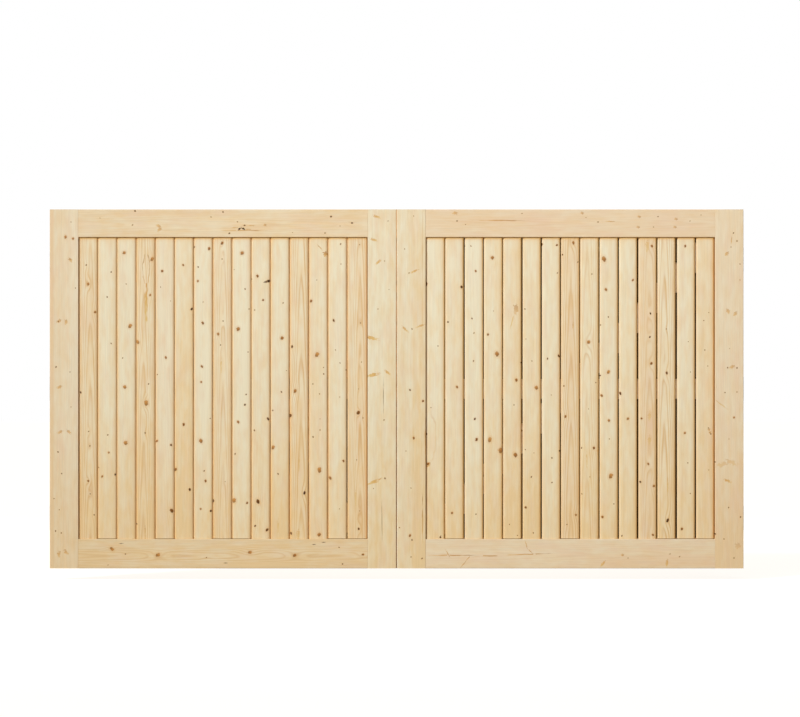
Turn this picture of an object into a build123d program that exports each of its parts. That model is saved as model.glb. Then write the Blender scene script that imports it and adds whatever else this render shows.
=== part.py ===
from build123d import *
import os
from math import atan2, degrees, hypot

# A pair of driveway gate leaves in planed softwood: a mortised frame, a mid rail,
# diagonal braces behind, and upright boards that drop into the frame from the front.
# Each leaf is drawn in its own coordinates: X runs from the hanging edge to the meeting
# edge, Y from the front face to the back, Z up from the foot of the stiles.

# Leaf
LEAF_WIDTH = 1737.0
LEAF_HEIGHT = 1800.0
MEETING_GAP = 5.0

# Frame members: a full front layer and, behind the boards, a lip that reaches further in
FRAME_THICKNESS = 45.0
STILE_WIDTH = 143.0
TOP_RAIL_WIDTH = 140.0
BOTTOM_RAIL_WIDTH = 147.0
LIP_WIDTH = 12.0
FRAME_ARRIS = 2.5
BOTTOM_RAIL_BEVEL = 1.5

# Mortise and tenon joints of the frame
TENON_THICKNESS = 14.0
TENON_LENGTH = 95.0
TENON_WIDTH_SHARE = 0.66
HAUNCH_LENGTH = 18.0
JOINT_CLEARANCE = 0.2

# Mid rail and braces, flush with the back of the frame
MID_RAIL_WIDTH = 115.0
BRACE_WIDTH = 115.0
STUB_THICKNESS = 8.0
STUB_LENGTH = 25.0
STUB_WIDTH_SHARE = 0.7

# Boards
BOARD_COUNT = 15
BOARD_THICKNESS = 18.0
BOARD_SETBACK = 7.0
BOARD_ARRIS = 10.0
BOARD_HEAD_GAP = 2.0

# Joints beside the boards from the hanging stile on: the boards of the left leaf stand close,
# those of the right leaf have shrunk apart, and no two joints are quite alike
LEFT_BOARD_GAP = 2.2
LEFT_GAP_SHARES = [0.8, 0.8, 0.7, 0.9, 0.8, 0.7, 0.9, 1.0, 0.9, 1.0, 1.1, 1.2, 1.2, 1.35, 1.3, 0.8]
LEFT_LAST_BOARD_EXTRA = 7.0
RIGHT_BOARD_GAP = 4.5
RIGHT_GAP_SHARES = [0.8, 1.2, 1.7, 0.95, 1.45, 1.05, 0.85, 0.6, 0.8, 1.15, 1.2, 0.55, 0.7, 1.05, 0.5, 0.7]

# Butt hinges on the hanging edge, set back from the front face
FLAP_THICKNESS = 3.0
FLAP_WIDTH = 21.0
FLAP_HEIGHT = 120.0
FLAP_GAP = 1.0
KNUCKLE_RADIUS = 5.5
KNUCKLE_COUNT = 3
KNUCKLE_END_CLEARANCE = 0.3
KNUCKLE_TO_STILE = 0.6
PIN_RADIUS = 3.0
PIN_CLEARANCE = 0.05
HINGE_FROM_END = 250.0

# Worked-out places
board_back = BOARD_SETBACK + BOARD_THICKNESS
stile_lip = STILE_WIDTH + LIP_WIDTH
top_shoulder = LEAF_HEIGHT - TOP_RAIL_WIDTH
top_lip = top_shoulder - LIP_WIDTH
bottom_lip = BOTTOM_RAIL_WIDTH + LIP_WIDTH
mid_height = LEAF_HEIGHT / 2
mid_rail_foot = mid_height - MID_RAIL_WIDTH / 2
mid_rail_head = mid_height + MID_RAIL_WIDTH / 2
flap_front = FRAME_THICKNESS - FLAP_WIDTH
pin_x = -FLAP_GAP / 2
pin_y = FRAME_THICKNESS + KNUCKLE_RADIUS + KNUCKLE_TO_STILE
hinge_heights = [HINGE_FROM_END, mid_height, LEAF_HEIGHT - HINGE_FROM_END]
knuckle_length = FLAP_HEIGHT / KNUCKLE_COUNT


def block(x, y, z):
    """A square-edged block between the two ends given for each axis."""
    sizes = [high - low for low, high in (x, y, z)]
    return Pos(x[0], y[0], z[0]) * Box(*sizes, align=(Align.MIN, Align.MIN, Align.MIN))


def grown(span, clearance):
    """A span made longer by the clearance at both ends."""
    return (span[0] - clearance, span[1] + clearance)


def lipped_section(front_width):
    """Section of a frame member: front face along X, lip at the back, square at every corner."""
    outline = Polyline(
        (0, 0),
        (front_width, 0),
        (front_width, board_back),
        (front_width + LIP_WIDTH, board_back),
        (front_width + LIP_WIDTH, FRAME_THICKNESS),
        (0, FRAME_THICKNESS),
        close=True,
    )
    return make_face(outline)


def eased(section):
    """The section with its front and back arrises taken off by a plane."""
    rows = section.vertices().group_by(Axis.Y)
    return fillet(rows[0] + rows[-1], FRAME_ARRIS)


# Tenons lie just in front of the rebate, so the mortise starts in the full front layer.
tenon_y = (board_back - TENON_THICKNESS, board_back)
tenon_x = (STILE_WIDTH - TENON_LENGTH, STILE_WIDTH)
haunch_x = (STILE_WIDTH - HAUNCH_LENGTH, STILE_WIDTH)
stub_y_middle = (board_back + FRAME_THICKNESS) / 2
stub_y = (stub_y_middle - STUB_THICKNESS / 2, stub_y_middle + STUB_THICKNESS / 2)
stub_x = (stile_lip - STUB_LENGTH, stile_lip)
stub_half = MID_RAIL_WIDTH * STUB_WIDTH_SHARE / 2
stub_z = (mid_height - stub_half, mid_height + stub_half)
half_width = Plane.YZ.offset(LEAF_WIDTH / 2)
half_height = Plane.XY.offset(mid_height)


def haunched_tenon(rail_width, clearance):
    """Tenon and haunch at the hanging end of a foot rail, or their mortise with a clearance."""
    haunch_head = rail_width * (1 - TENON_WIDTH_SHARE)
    y = (tenon_y[0] - clearance, tenon_y[1])
    tenon_z = grown((haunch_head, rail_width), clearance)
    tenon = block((tenon_x[0] - clearance, tenon_x[1]), y, tenon_z)
    return tenon + block((haunch_x[0] - clearance, haunch_x[1]), y, (0, haunch_head))


def stub_tenon(clearance):
    """Stub tenon at the hanging end of the mid rail, or its mortise with a clearance."""
    x = (stub_x[0] - clearance, stub_x[1])
    return block(x, grown(stub_y, clearance), grown(stub_z, clearance))


def plain_stile():
    """A stile at the hanging edge, with a mortise for each rail and no hinge recesses."""
    stile = extrude(eased(lipped_section(STILE_WIDTH)), LEAF_HEIGHT)
    stile -= haunched_tenon(BOTTOM_RAIL_WIDTH, JOINT_CLEARANCE)
    stile -= mirror(haunched_tenon(TOP_RAIL_WIDTH, JOINT_CLEARANCE), about=half_height)
    return stile - stub_tenon(JOINT_CLEARANCE)


def hanging_stile():
    """The hinged stile, its edge cut back for each gate flap."""
    stile = plain_stile()
    for height in hinge_heights:
        z = grown((height - FLAP_HEIGHT / 2, height + FLAP_HEIGHT / 2), JOINT_CLEARANCE)
        y = (flap_front - JOINT_CLEARANCE, FRAME_THICKNESS)
        stile -= block((0, FLAP_THICKNESS), y, z)
    return stile


def meeting_stile():
    """The stile at the middle of the gateway, the hanging stile's mirror twin without hinges."""
    return mirror(plain_stile(), about=half_width)


def foot_rail(section, width):
    """A rail at the foot: long shoulder in front, short shoulder at the lip, a tenon each end."""
    across_leaf = Plane((LEAF_WIDTH - STILE_WIDTH, 0, 0), x_dir=(0, 0, 1), z_dir=(-1, 0, 0))
    member = extrude(across_leaf * section, LEAF_WIDTH - 2 * STILE_WIDTH)
    back = (board_back, FRAME_THICKNESS)
    short_shoulder = block((STILE_WIDTH, stile_lip), back, (0, width + LIP_WIDTH))
    member -= short_shoulder + mirror(short_shoulder, about=half_width)
    tenon = haunched_tenon(width, 0)
    return member + tenon + mirror(tenon, about=half_width)


def bottom_rail():
    """The foot of the frame; its upper front arris is bevelled to shed water."""
    section = eased(lipped_section(BOTTOM_RAIL_WIDTH))
    bevel = Polyline(
        (BOTTOM_RAIL_WIDTH, 0),
        (BOTTOM_RAIL_WIDTH, BOTTOM_RAIL_BEVEL),
        (BOTTOM_RAIL_WIDTH - BOTTOM_RAIL_BEVEL, 0),
        close=True,
    )
    return foot_rail(section - make_face(bevel), BOTTOM_RAIL_WIDTH)


def top_rail():
    """The head of the frame, drawn at the foot and mirrored up."""
    section = eased(lipped_section(TOP_RAIL_WIDTH))
    return mirror(foot_rail(section, TOP_RAIL_WIDTH), about=half_height)


def mid_rail():
    """The rail behind the boards at half height, stub-tenoned into both stiles."""
    y = (board_back, FRAME_THICKNESS)
    member = block((stile_lip, LEAF_WIDTH - stile_lip), y, (mid_rail_foot, mid_rail_head))
    return member + stub_tenon(0) + mirror(stub_tenon(0), about=half_width)


def brace(foot, head):
    """One half of the diagonal: a straight plank cut to fit the corner and the mid rail."""
    x = (stile_lip, LEAF_WIDTH - stile_lip)
    run = x[1] - x[0]
    rise = top_lip - bottom_lip
    plank = Box(hypot(run, rise) + BRACE_WIDTH, FRAME_THICKNESS - board_back, BRACE_WIDTH)
    y_middle = (board_back + FRAME_THICKNESS) / 2
    slanted = Pos(LEAF_WIDTH / 2, y_middle, (top_lip + bottom_lip) / 2)
    slanted *= Rot(Y=degrees(atan2(rise, run)))
    return slanted * plank & block(x, (board_back, FRAME_THICKNESS), (foot, head))


def board(start, end):
    """One upright board between two places across the leaf, standing on the bottom rail."""
    middle = Pos((start + end) / 2, BOARD_SETBACK + BOARD_THICKNESS / 2)
    plan = middle * Rectangle(end - start, BOARD_THICKNESS)
    plan = fillet(plan.vertices().group_by(Axis.Y)[0], BOARD_ARRIS)
    length = top_shoulder - BOARD_HEAD_GAP - BOTTOM_RAIL_WIDTH
    return Pos(0, 0, BOTTOM_RAIL_WIDTH) * extrude(plan, length)


def boards(gap, gap_shares, last_extra):
    """The boards of one leaf from the hanging stile on: their joints are evenly spaced, and
    the last board is wider by what is left over."""
    gaps = [gap * gap_shares[index % len(gap_shares)] for index in range(BOARD_COUNT + 1)]
    pitch = (LEAF_WIDTH - 2 * STILE_WIDTH - last_extra) / BOARD_COUNT
    joints = [STILE_WIDTH + index * pitch for index in range(BOARD_COUNT)]
    starts = [joint + open_width / 2 for joint, open_width in zip(joints, gaps)]
    ends = [joint - open_width / 2 for joint, open_width in zip(joints, gaps)]
    starts[0] = STILE_WIDTH + gaps[0]
    ends.append(LEAF_WIDTH - STILE_WIDTH - gaps[-1])
    return [board(start, end) for start, end in zip(starts, ends[1:])]


def knuckle(index, height, radius, end_clearance):
    """One barrel of a hinge, counted from its foot."""
    foot = height - FLAP_HEIGHT / 2 + index * knuckle_length + end_clearance
    length = knuckle_length - 2 * end_clearance
    barrel = Cylinder(radius, length, align=(Align.CENTER, Align.CENTER, Align.MIN))
    return Pos(pin_x, pin_y, foot) * barrel


def flap(x, own, others, height):
    """A hinge flap with its own knuckles, notched round the knuckles of the other flap."""
    y = (flap_front, pin_y)
    plate = block(x, y, (height - FLAP_HEIGHT / 2, height + FLAP_HEIGHT / 2))
    for index in others:
        plate -= knuckle(index, height, KNUCKLE_RADIUS + FLAP_GAP, 0)
    for index in own:
        plate += knuckle(index, height, KNUCKLE_RADIUS, KNUCKLE_END_CLEARANCE)
    return plate


post_knuckles = range(0, KNUCKLE_COUNT, 2)
gate_knuckles = range(1, KNUCKLE_COUNT, 2)


def pin(height, radius):
    """The hinge pin, or its bore, over the whole height of the flaps."""
    return Pos(pin_x, pin_y, height) * Cylinder(radius, FLAP_HEIGHT)


def post_flap(height):
    """The flap that is screwed to the gate post, with the pin held in its knuckles."""
    x = (-FLAP_GAP - FLAP_THICKNESS, -FLAP_GAP)
    return flap(x, post_knuckles, gate_knuckles, height) + pin(height, PIN_RADIUS)


def gate_flap(height):
    """The flap let into the hanging stile, its knuckles bored for the pin."""
    x = (0, FLAP_THICKNESS)
    return flap(x, gate_knuckles, post_knuckles, height) - pin(height, PIN_RADIUS + PIN_CLEARANCE)


def leaf_frame():
    """Every piece of a leaf but its boards, with its hinges, in leaf coordinates, by name."""
    return {
        "hanging_stile": hanging_stile(),
        "meeting_stile": meeting_stile(),
        "top_rail": top_rail(),
        "bottom_rail": bottom_rail(),
        "mid_rail": mid_rail(),
        "upper_brace": brace(mid_rail_head, top_lip),
        "lower_brace": brace(bottom_lip, mid_rail_foot),
        "post_flaps": Compound([post_flap(height).solid() for height in hinge_heights]),
        "gate_flaps": Compound([gate_flap(height).solid() for height in hinge_heights]),
    }


def leaf_boards(gap, gap_shares, last_extra):
    """The boards of one leaf by name, counted from the hanging stile."""
    row = enumerate(boards(gap, gap_shares, last_extra), start=1)
    return {f"board_{number:02d}": board for number, board in row}


# The origin is the middle of the lower left post flap, on the face that meets the post.
to_origin = Pos(FLAP_GAP + FLAP_THICKNESS, -(flap_front + FRAME_THICKNESS) / 2, -HINGE_FROM_END)
between_leaves = Plane.YZ.offset(LEAF_WIDTH + MEETING_GAP / 2)

os.makedirs("parts", exist_ok=True)
frame_pieces = leaf_frame()
left_leaf = frame_pieces | leaf_boards(LEFT_BOARD_GAP, LEFT_GAP_SHARES, LEFT_LAST_BOARD_EXTRA)
right_leaf = frame_pieces | leaf_boards(RIGHT_BOARD_GAP, RIGHT_GAP_SHARES, 0)
for name, piece in left_leaf.items():
    export_step(to_origin * piece, f"parts/left_{name}.step")
for name, piece in right_leaf.items():
    export_step(to_origin * mirror(piece, about=between_leaves), f"parts/right_{name}.step")
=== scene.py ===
# %% [markdown]
# # A pair of driveway gate leaves in bare knotty softwood
# The real gate is planed spruce and pine: a frame of wide members, upright boards set back
# behind its face, and a mid rail and diagonal braces at the back. The solids already have
# the right sizes, so this lesson is about the wood: its growth rings, its knots and the way
# the grain bends round them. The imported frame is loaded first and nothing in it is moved.

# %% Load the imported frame
import math
import random

import bmesh
import bpy
import numpy as np
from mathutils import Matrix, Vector


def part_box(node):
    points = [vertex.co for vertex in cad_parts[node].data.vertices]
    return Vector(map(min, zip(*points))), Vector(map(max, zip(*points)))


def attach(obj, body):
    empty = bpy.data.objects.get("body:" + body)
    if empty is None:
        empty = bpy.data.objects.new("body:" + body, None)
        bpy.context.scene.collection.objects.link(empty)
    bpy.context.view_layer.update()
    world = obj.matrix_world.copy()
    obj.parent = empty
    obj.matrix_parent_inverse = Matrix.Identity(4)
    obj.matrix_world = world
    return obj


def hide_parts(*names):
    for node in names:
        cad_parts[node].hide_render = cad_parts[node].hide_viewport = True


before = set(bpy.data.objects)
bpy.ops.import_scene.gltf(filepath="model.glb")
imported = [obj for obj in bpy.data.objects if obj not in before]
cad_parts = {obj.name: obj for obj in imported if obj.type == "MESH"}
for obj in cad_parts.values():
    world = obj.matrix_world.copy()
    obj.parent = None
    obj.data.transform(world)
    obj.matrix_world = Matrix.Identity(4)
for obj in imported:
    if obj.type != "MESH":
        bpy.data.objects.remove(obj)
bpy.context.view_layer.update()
MM = 0.001
SIDES = ("left", "right")
BOARDS_A_LEAF = 15

# %% [markdown]
# ## Where the camera stood
# The photograph looks at the gate square on, from a little above half height, with a long
# lens. The pair's edges were read in the 800 by 717 picture, and one picture point is then a
# fixed length on the front face. A level camera opposite the picture's middle needs no shift.

# %% Picture points and metres
PHOTO_WIDTH, PHOTO_HEIGHT = 800, 717
PAIR_LEFT_PX, PAIR_RIGHT_PX, PAIR_FOOT_PX = 49.7, 743.6, 568.4
CAMERA_DISTANCE = 12.0
SENSOR_WIDTH = 36.0

pair_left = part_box("left_hanging_stile")[0]
pair_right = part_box("right_hanging_stile")[1]
point_size = (pair_right.x - pair_left.x) / (PAIR_RIGHT_PX - PAIR_LEFT_PX)
front_y, back_y = pair_left.y, pair_right.y
foot_z, head_z = pair_left.z, pair_right.z


def seen_at(px, py):
    """The place on the front face, across and up in metres, that shows at a picture point."""
    across = pair_left.x + (px - PAIR_LEFT_PX) * point_size
    return across, foot_z + (PAIR_FOOT_PX - py) * point_size


print(f"one picture point is {point_size / MM:.2f} mm on the gate")


# %% Camera
def put_in_scene(name, data):
    """An object that shows a mesh, a lamp or a camera, linked to the scene."""
    made = bpy.data.objects.new(name, data)
    bpy.context.scene.collection.objects.link(made)
    return made


camera_x, camera_z = seen_at(PHOTO_WIDTH / 2, PHOTO_HEIGHT / 2)
camera_data = bpy.data.cameras.new("camera")
camera_data.sensor_width = SENSOR_WIDTH
camera_data.lens = SENSOR_WIDTH * CAMERA_DISTANCE / (PHOTO_WIDTH * point_size)
camera = put_in_scene("camera", camera_data)
camera.location = (camera_x, front_y - CAMERA_DISTANCE, camera_z)
camera.rotation_euler = (math.radians(90), 0, 0)
bpy.context.scene.camera = camera
bpy.context.scene.view_settings.view_transform = "Standard"
print(f"camera {camera_z - foot_z:.2f} m above the foot of the gate, lens {camera_data.lens:.0f} mm")

# %% [markdown]
# ## Colours and nodes
# Colours are written as the sRGB hex values that an eye reads off a screen, and one function
# turns them into the linear values that the renderer adds up. One more function adds a shader
# node, sets it and links it, so that a material reads as a list of steps. Sockets go by name or
# by number: a Map Range's 1 to 4 are the two ends of what comes in and the two ends of what
# goes out, and a Mix's 6 and 7 are its two colours.


# %% Colour and node helpers
def linear(hex_colour):
    """The linear colour, with full alpha, of an sRGB hex value."""
    parts = [int(hex_colour[i : i + 2], 16) / 255 for i in (1, 3, 5)]
    return [p / 12.92 if p <= 0.04045 else ((p + 0.055) / 1.055) ** 2.4 for p in parts] + [1.0]


def grey(value):
    """A neutral colour of that linear value, for ramps that hold a share and not a colour."""
    return [value, value, value, 1.0]


def node(tree, kind, inputs=None, stops=(), **settings):
    """Adds a shader node. settings are its properties, inputs its sockets' values or sources,
    and stops the places and linear colours of a colour ramp."""
    made = tree.nodes.new("ShaderNode" + kind)
    for name, value in settings.items():
        setattr(made, name, value)
    for socket, value in (inputs or {}).items():
        if isinstance(value, bpy.types.Node):
            value = next(output for output in value.outputs if output.enabled)
        if isinstance(value, bpy.types.NodeSocket):
            tree.links.new(value, made.inputs[socket])
        else:
            made.inputs[socket].default_value = value
    if stops:
        elements = made.color_ramp.elements
        while len(elements) < len(stops):
            elements.new(1.0)
        for element, (place, colour) in zip(elements, stops):
            element.position, element.color = place, colour
    return made


def new_material(name):
    """An empty material, ready for its nodes, and its node tree."""
    material = bpy.data.materials.new(name)
    material.use_nodes = True
    material.node_tree.nodes.clear()
    return material, material.node_tree


print("sRGB #808080 is linear", round(linear("#808080")[0], 3))

# %% [markdown]
# ## A white studio
# The photograph is cut out on white. Here the world is white only to rays that come straight
# from the camera or from a polished surface, and a dimmer even light to all others, so the
# wood isn't flooded. The floor lies under the leaves at the height of a usual ground
# clearance. It adds a glow for the same rays alone, and its own shaded part keeps the shadow.

# %% World
AMBIENT_LIGHT = 0.315
white = linear("#FFFFFF")
world = bpy.data.worlds.new("studio")
bpy.context.scene.world = world
world.use_nodes = True
sky = world.node_tree
sky.nodes.clear()
path = node(sky, "LightPath")
sky_seen = path.outputs["Is Camera Ray"]
for gloss in ("Is Glossy Ray", "Is Transmission Ray"):
    sky_seen = node(sky, "Math", {0: sky_seen, 1: path.outputs[gloss]}, operation="MAXIMUM")
even_light = node(sky, "Background", {"Color": white, "Strength": AMBIENT_LIGHT})
white_ground = node(sky, "Background", {"Color": white, "Strength": 1.0})
sky_mix = node(sky, "MixShader", {0: sky_seen, 1: even_light, 2: white_ground})
node(sky, "OutputWorld", {"Surface": sky_mix})
print("world: white to the camera,", AMBIENT_LIGHT, "to everything else")

# %% Floor
GROUND_CLEARANCE = 60 * MM
FLOOR_SIZE = 60.0
FLOOR_GLOW = 0.79

middle_x = (pair_left.x + pair_right.x) / 2
floor_z = foot_z - GROUND_CLEARANCE
half = FLOOR_SIZE / 2
corners = [(middle_x + i * half, j * half, floor_z) for i, j in ((-1, -1), (1, -1), (1, 1), (-1, 1))]
floor_mesh = bpy.data.meshes.new("floor")
floor_mesh.from_pydata(corners, [], [(0, 1, 2, 3)])
floor = put_in_scene("floor", floor_mesh)

# matt paint scatters all its light, so the eye sees nothing on it but a soft shadow
painted_floor, tree = new_material("matt_white_floor")
path = node(tree, "LightPath")
shaded = node(tree, "BsdfDiffuse", {"Color": linear("#ADA390")})
glow_seen = path.outputs["Is Camera Ray"]
for gloss in ("Is Glossy Ray", "Is Transmission Ray"):
    glow_seen = node(tree, "Math", {0: glow_seen, 1: path.outputs[gloss]}, operation="MAXIMUM")
glow_strength = node(tree, "Math", {0: glow_seen, 1: FLOOR_GLOW}, operation="MULTIPLY")
glow = node(tree, "Emission", {"Color": white, "Strength": glow_strength})
both = node(tree, "AddShader", {0: shaded, 1: glow})
node(tree, "OutputMaterial", {"Surface": both})
floor_mesh.materials.append(painted_floor)
print("floor", GROUND_CLEARANCE / MM, "mm under the leaves")

# %% [markdown]
# ## Lamps
# In the photograph every board has a bright left arris and a brown right one, and a thin
# shadow lies under the top rail: the light comes from the upper left. A sun with a wide disc
# gives that side light evenly over both leaves, and a broad panel above the front makes the
# heads of the boards a little brighter than their feet. A dimmer panel behind keeps the braces
# and the mid rail readable from the back, and the leaves stand between it and the camera.

# %% Side light and panels
SUN_STRENGTH = 2.28
SUN_LEFT, SUN_HEIGHT, SUN_DISC = 51, 34, 7
TOP_PANEL_POWER, TOP_PANEL_SIZE = 80.0, (6.8, 1.2)
TOP_PANEL_AWAY, TOP_PANEL_UP, TOP_PANEL_AIM_DOWN = 3.0, 0.9, 0.3
BACK_PANEL_POWER, BACK_PANEL_SIZE = 75.0, (4.5, 1.6)
BACK_PANEL_AWAY, BACK_PANEL_UP = 4.0, 0.4

sun_data = bpy.data.lights.new("side_light", "SUN")
sun_data.energy = SUN_STRENGTH
sun_data.angle = math.radians(SUN_DISC)
sun = put_in_scene("side_light", sun_data)
sun.rotation_euler = (math.radians(90 - SUN_HEIGHT), 0, math.radians(-SUN_LEFT))


def panel_lamp(name, power, size, colour, place, aim):
    """A broad soft rectangle of light at one place, turned to another."""
    data = bpy.data.lights.new(name, "AREA")
    data.shape = "RECTANGLE"
    data.size, data.size_y = size
    data.energy = power
    data.color = linear(colour)[:3]
    lamp = put_in_scene(name, data)
    lamp.location = place
    lamp.rotation_euler = (Vector(aim) - lamp.location).to_track_quat("-Z", "Y").to_euler()


panel_lamp(
    "top_panel", TOP_PANEL_POWER, TOP_PANEL_SIZE, "#DCE8FF",
    (middle_x, front_y - TOP_PANEL_AWAY, head_z + TOP_PANEL_UP),
    (middle_x, front_y, head_z - TOP_PANEL_AIM_DOWN),
)
panel_lamp(
    "back_panel", BACK_PANEL_POWER, BACK_PANEL_SIZE, "#FFFFFF",
    (middle_x, back_y + BACK_PANEL_AWAY, head_z + BACK_PANEL_UP),
    (middle_x, back_y, (foot_z + head_z) / 2),
)
print("side light", SUN_LEFT, "degrees to the left,", SUN_HEIGHT, "degrees high")

# %% [markdown]
# ## What a plank knows about itself
# Wood is a stack of growth rings round the pith, with branches running out through it. The
# shader can draw both at any scale if each plank carries a few plain facts in its mesh. Every
# vertex has its place in the log: across and deep from the pith, and along the grain. Every
# face corner has its place relative to the nearest knot, in knot radii, and the same in a
# wider, longer measure for the grain that flows round it. All else that stains a plank, such as
# resin, bark, cracks and smudged branch streaks, is a mark: a slanted oval, kept in the same
# way. Straight faces keep such numbers exact between the corners, so knots stay round and sharp
# however coarse the mesh is. An image could hold all this too, but would blur when looked at
# from close by.

# %% Kinds of knot and mark
# knots: radius in mm, length over width, and tint (0 orange, 0.5 brown, 1 black);
# p is a pin knot, s, m and b are small to big, S, M and B the same but darker, K a black one
KNOT_KINDS = {
    "p": (1.9, 1.2, 0.78),
    "s": (2.7, 1.2, 0.88),
    "m": (5.2, 1.2, 0.54),
    "b": (8.2, 1.15, 0.44),
    "S": (3.6, 1.2, 0.95),
    "M": (5.4, 1.3, 0.86),
    "B": (8.6, 1.25, 0.76),
    "K": (8.0, 1.05, 1.04),
}
# marks: half width in mm, length over width, tint as above, and how fully they cover the wood;
# a negative cover draws the outline alone
MARK_KINDS = {
    "resin": (3.4, 11.0, 0.0, 0.55),
    "pocket": (7.5, 13.0, 0.1, 0.85),
    "streak": (2.6, 42.0, 0.3, 0.8),
    "tick": (2.4, 9.0, 0.25, 0.7),
    "patch": (9.0, 3.0, 0.05, 0.5),
    "amber": (12.0, 1.2, 0.26, 0.85),
    "bark": (5.0, 2.5, 1.0, 1.0),
    "dab": (6.0, 1.4, 0.3, 0.72),
    "crack": (1.5, 60.0, 0.8, 0.75),
    "line": (1.4, 300.0, 0.3, 0.5),
    "split": (1.9, 6.0, 0.95, 0.85),
    "smudge": (8.2, 1.8, 0.22, 0.66),
    "spike": (5.8, 3.6, 0.12, 0.8),
    "wedge": (8.6, 4.4, 0.08, 0.85),
    "swirl": (11.0, 3.0, 0.12, 0.4),
    "burl": (13.0, 2.1, 0.3, 0.6),
    "faded": (15.0, 1.1, 0.3, 0.35),
    "loop": (17.0, 4.2, 0.35, -0.6),
    "arc": (38.0, 3.5, 0.1, -0.28),
}
print(len(KNOT_KINDS), "kinds of knot and", len(MARK_KINDS), "kinds of mark")

# %% Rows of knots and marks
# no two knots are alike: how far each one's size, length, tint and slant may stray
SIZE_SPREAD, STRETCH_SPREAD = (0.85, 1.2), (0.85, 1.3)
TINT_SPREAD, SLANT_SPREAD = (-0.1, 0.08), (-40, 40)
# the grain flows round a knot in an oval this much longer than wide, and this far out
FLOW_LENGTH = 2.4
FLOW_REACH_RADII, FLOW_REACH_MARGIN = 2.0, 7 * MM
# between close knots it keeps to this share of their distance, and of its own knot's radius
NEIGHBOUR_SHARE, OWN_SHARE = 0.27, 0.3
FAR_AWAY = 100.0
chance = random.Random(20)


def knot_rows(blemishes):
    """Knots as rows of across, along, radius, stretch, slant, tint and reach, in metres."""
    rows = []
    for kind, across, along, slant in blemishes:
        if kind in KNOT_KINDS:
            radius, stretch, tint = KNOT_KINDS[kind]
            radius *= chance.uniform(*SIZE_SPREAD) * MM
            stretch *= chance.uniform(*STRETCH_SPREAD)
            tint += chance.uniform(*TINT_SPREAD)
            slant = math.radians(chance.uniform(*SLANT_SPREAD))
            reach = radius * FLOW_REACH_RADII + FLOW_REACH_MARGIN
            rows.append([across, along, radius, stretch, slant, tint, reach])
    rows = np.array(rows)
    for row in rows:
        apart = np.hypot(rows[:, 0] - row[0], (rows[:, 1] - row[1]) / FLOW_LENGTH)
        nearest = np.min(apart[apart > 0], initial=1.0)
        row[6] = min(row[6], nearest * NEIGHBOUR_SHARE + row[2] * OWN_SHARE)
    return rows


def mark_rows(blemishes):
    """Marks as rows of across, along, half width, stretch, slant, tint and cover, in metres.
    The first row is an unseen mark far away, for planks that have none."""
    rows = [[FAR_AWAY, FAR_AWAY, 1 * MM, 1.0, 0.0, 0.0, 0.0]]
    for kind, across, along, slant in blemishes:
        if kind in MARK_KINDS:
            half_width, stretch, tint, cover = MARK_KINDS[kind]
            rows.append([across, along, half_width * MM, stretch, math.radians(slant), tint, cover])
    return np.array(rows)


def in_radii(rows, across, along):
    """Places relative to blemishes, across and along their own axes, in their own radii."""
    off_across, off_along = across - rows[..., 0], along - rows[..., 1]
    cos, sin = np.cos(rows[..., 4]), np.sin(rows[..., 4])
    core_across = (off_across * cos - off_along * sin) / rows[..., 2]
    core_along = (off_across * sin + off_along * cos) / (rows[..., 2] * rows[..., 3])
    return core_across, core_along


print("the grain flows", FLOW_LENGTH, "times as far along a knot as across it")

# %% Attributes of a plank's mesh
# how far the rings are pushed aside at a knot, in its radii
FLOW_SHARE = 1.1
# a bigger knot, and a darker mark, wins the faces between two of them
BIG_KNOT_FIRST, DARK_MARK_FIRST = 0.5, 3 * MM


def set_attribute(mesh, name, kind, domain, values):
    """Stores one number or vector for each vertex or face corner."""
    field = "vector" if kind == "FLOAT_VECTOR" else "value"
    layer = mesh.attributes.new(name, kind, domain)
    layer.data.foreach_set(field, np.asarray(values, dtype=np.float32).ravel())


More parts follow.
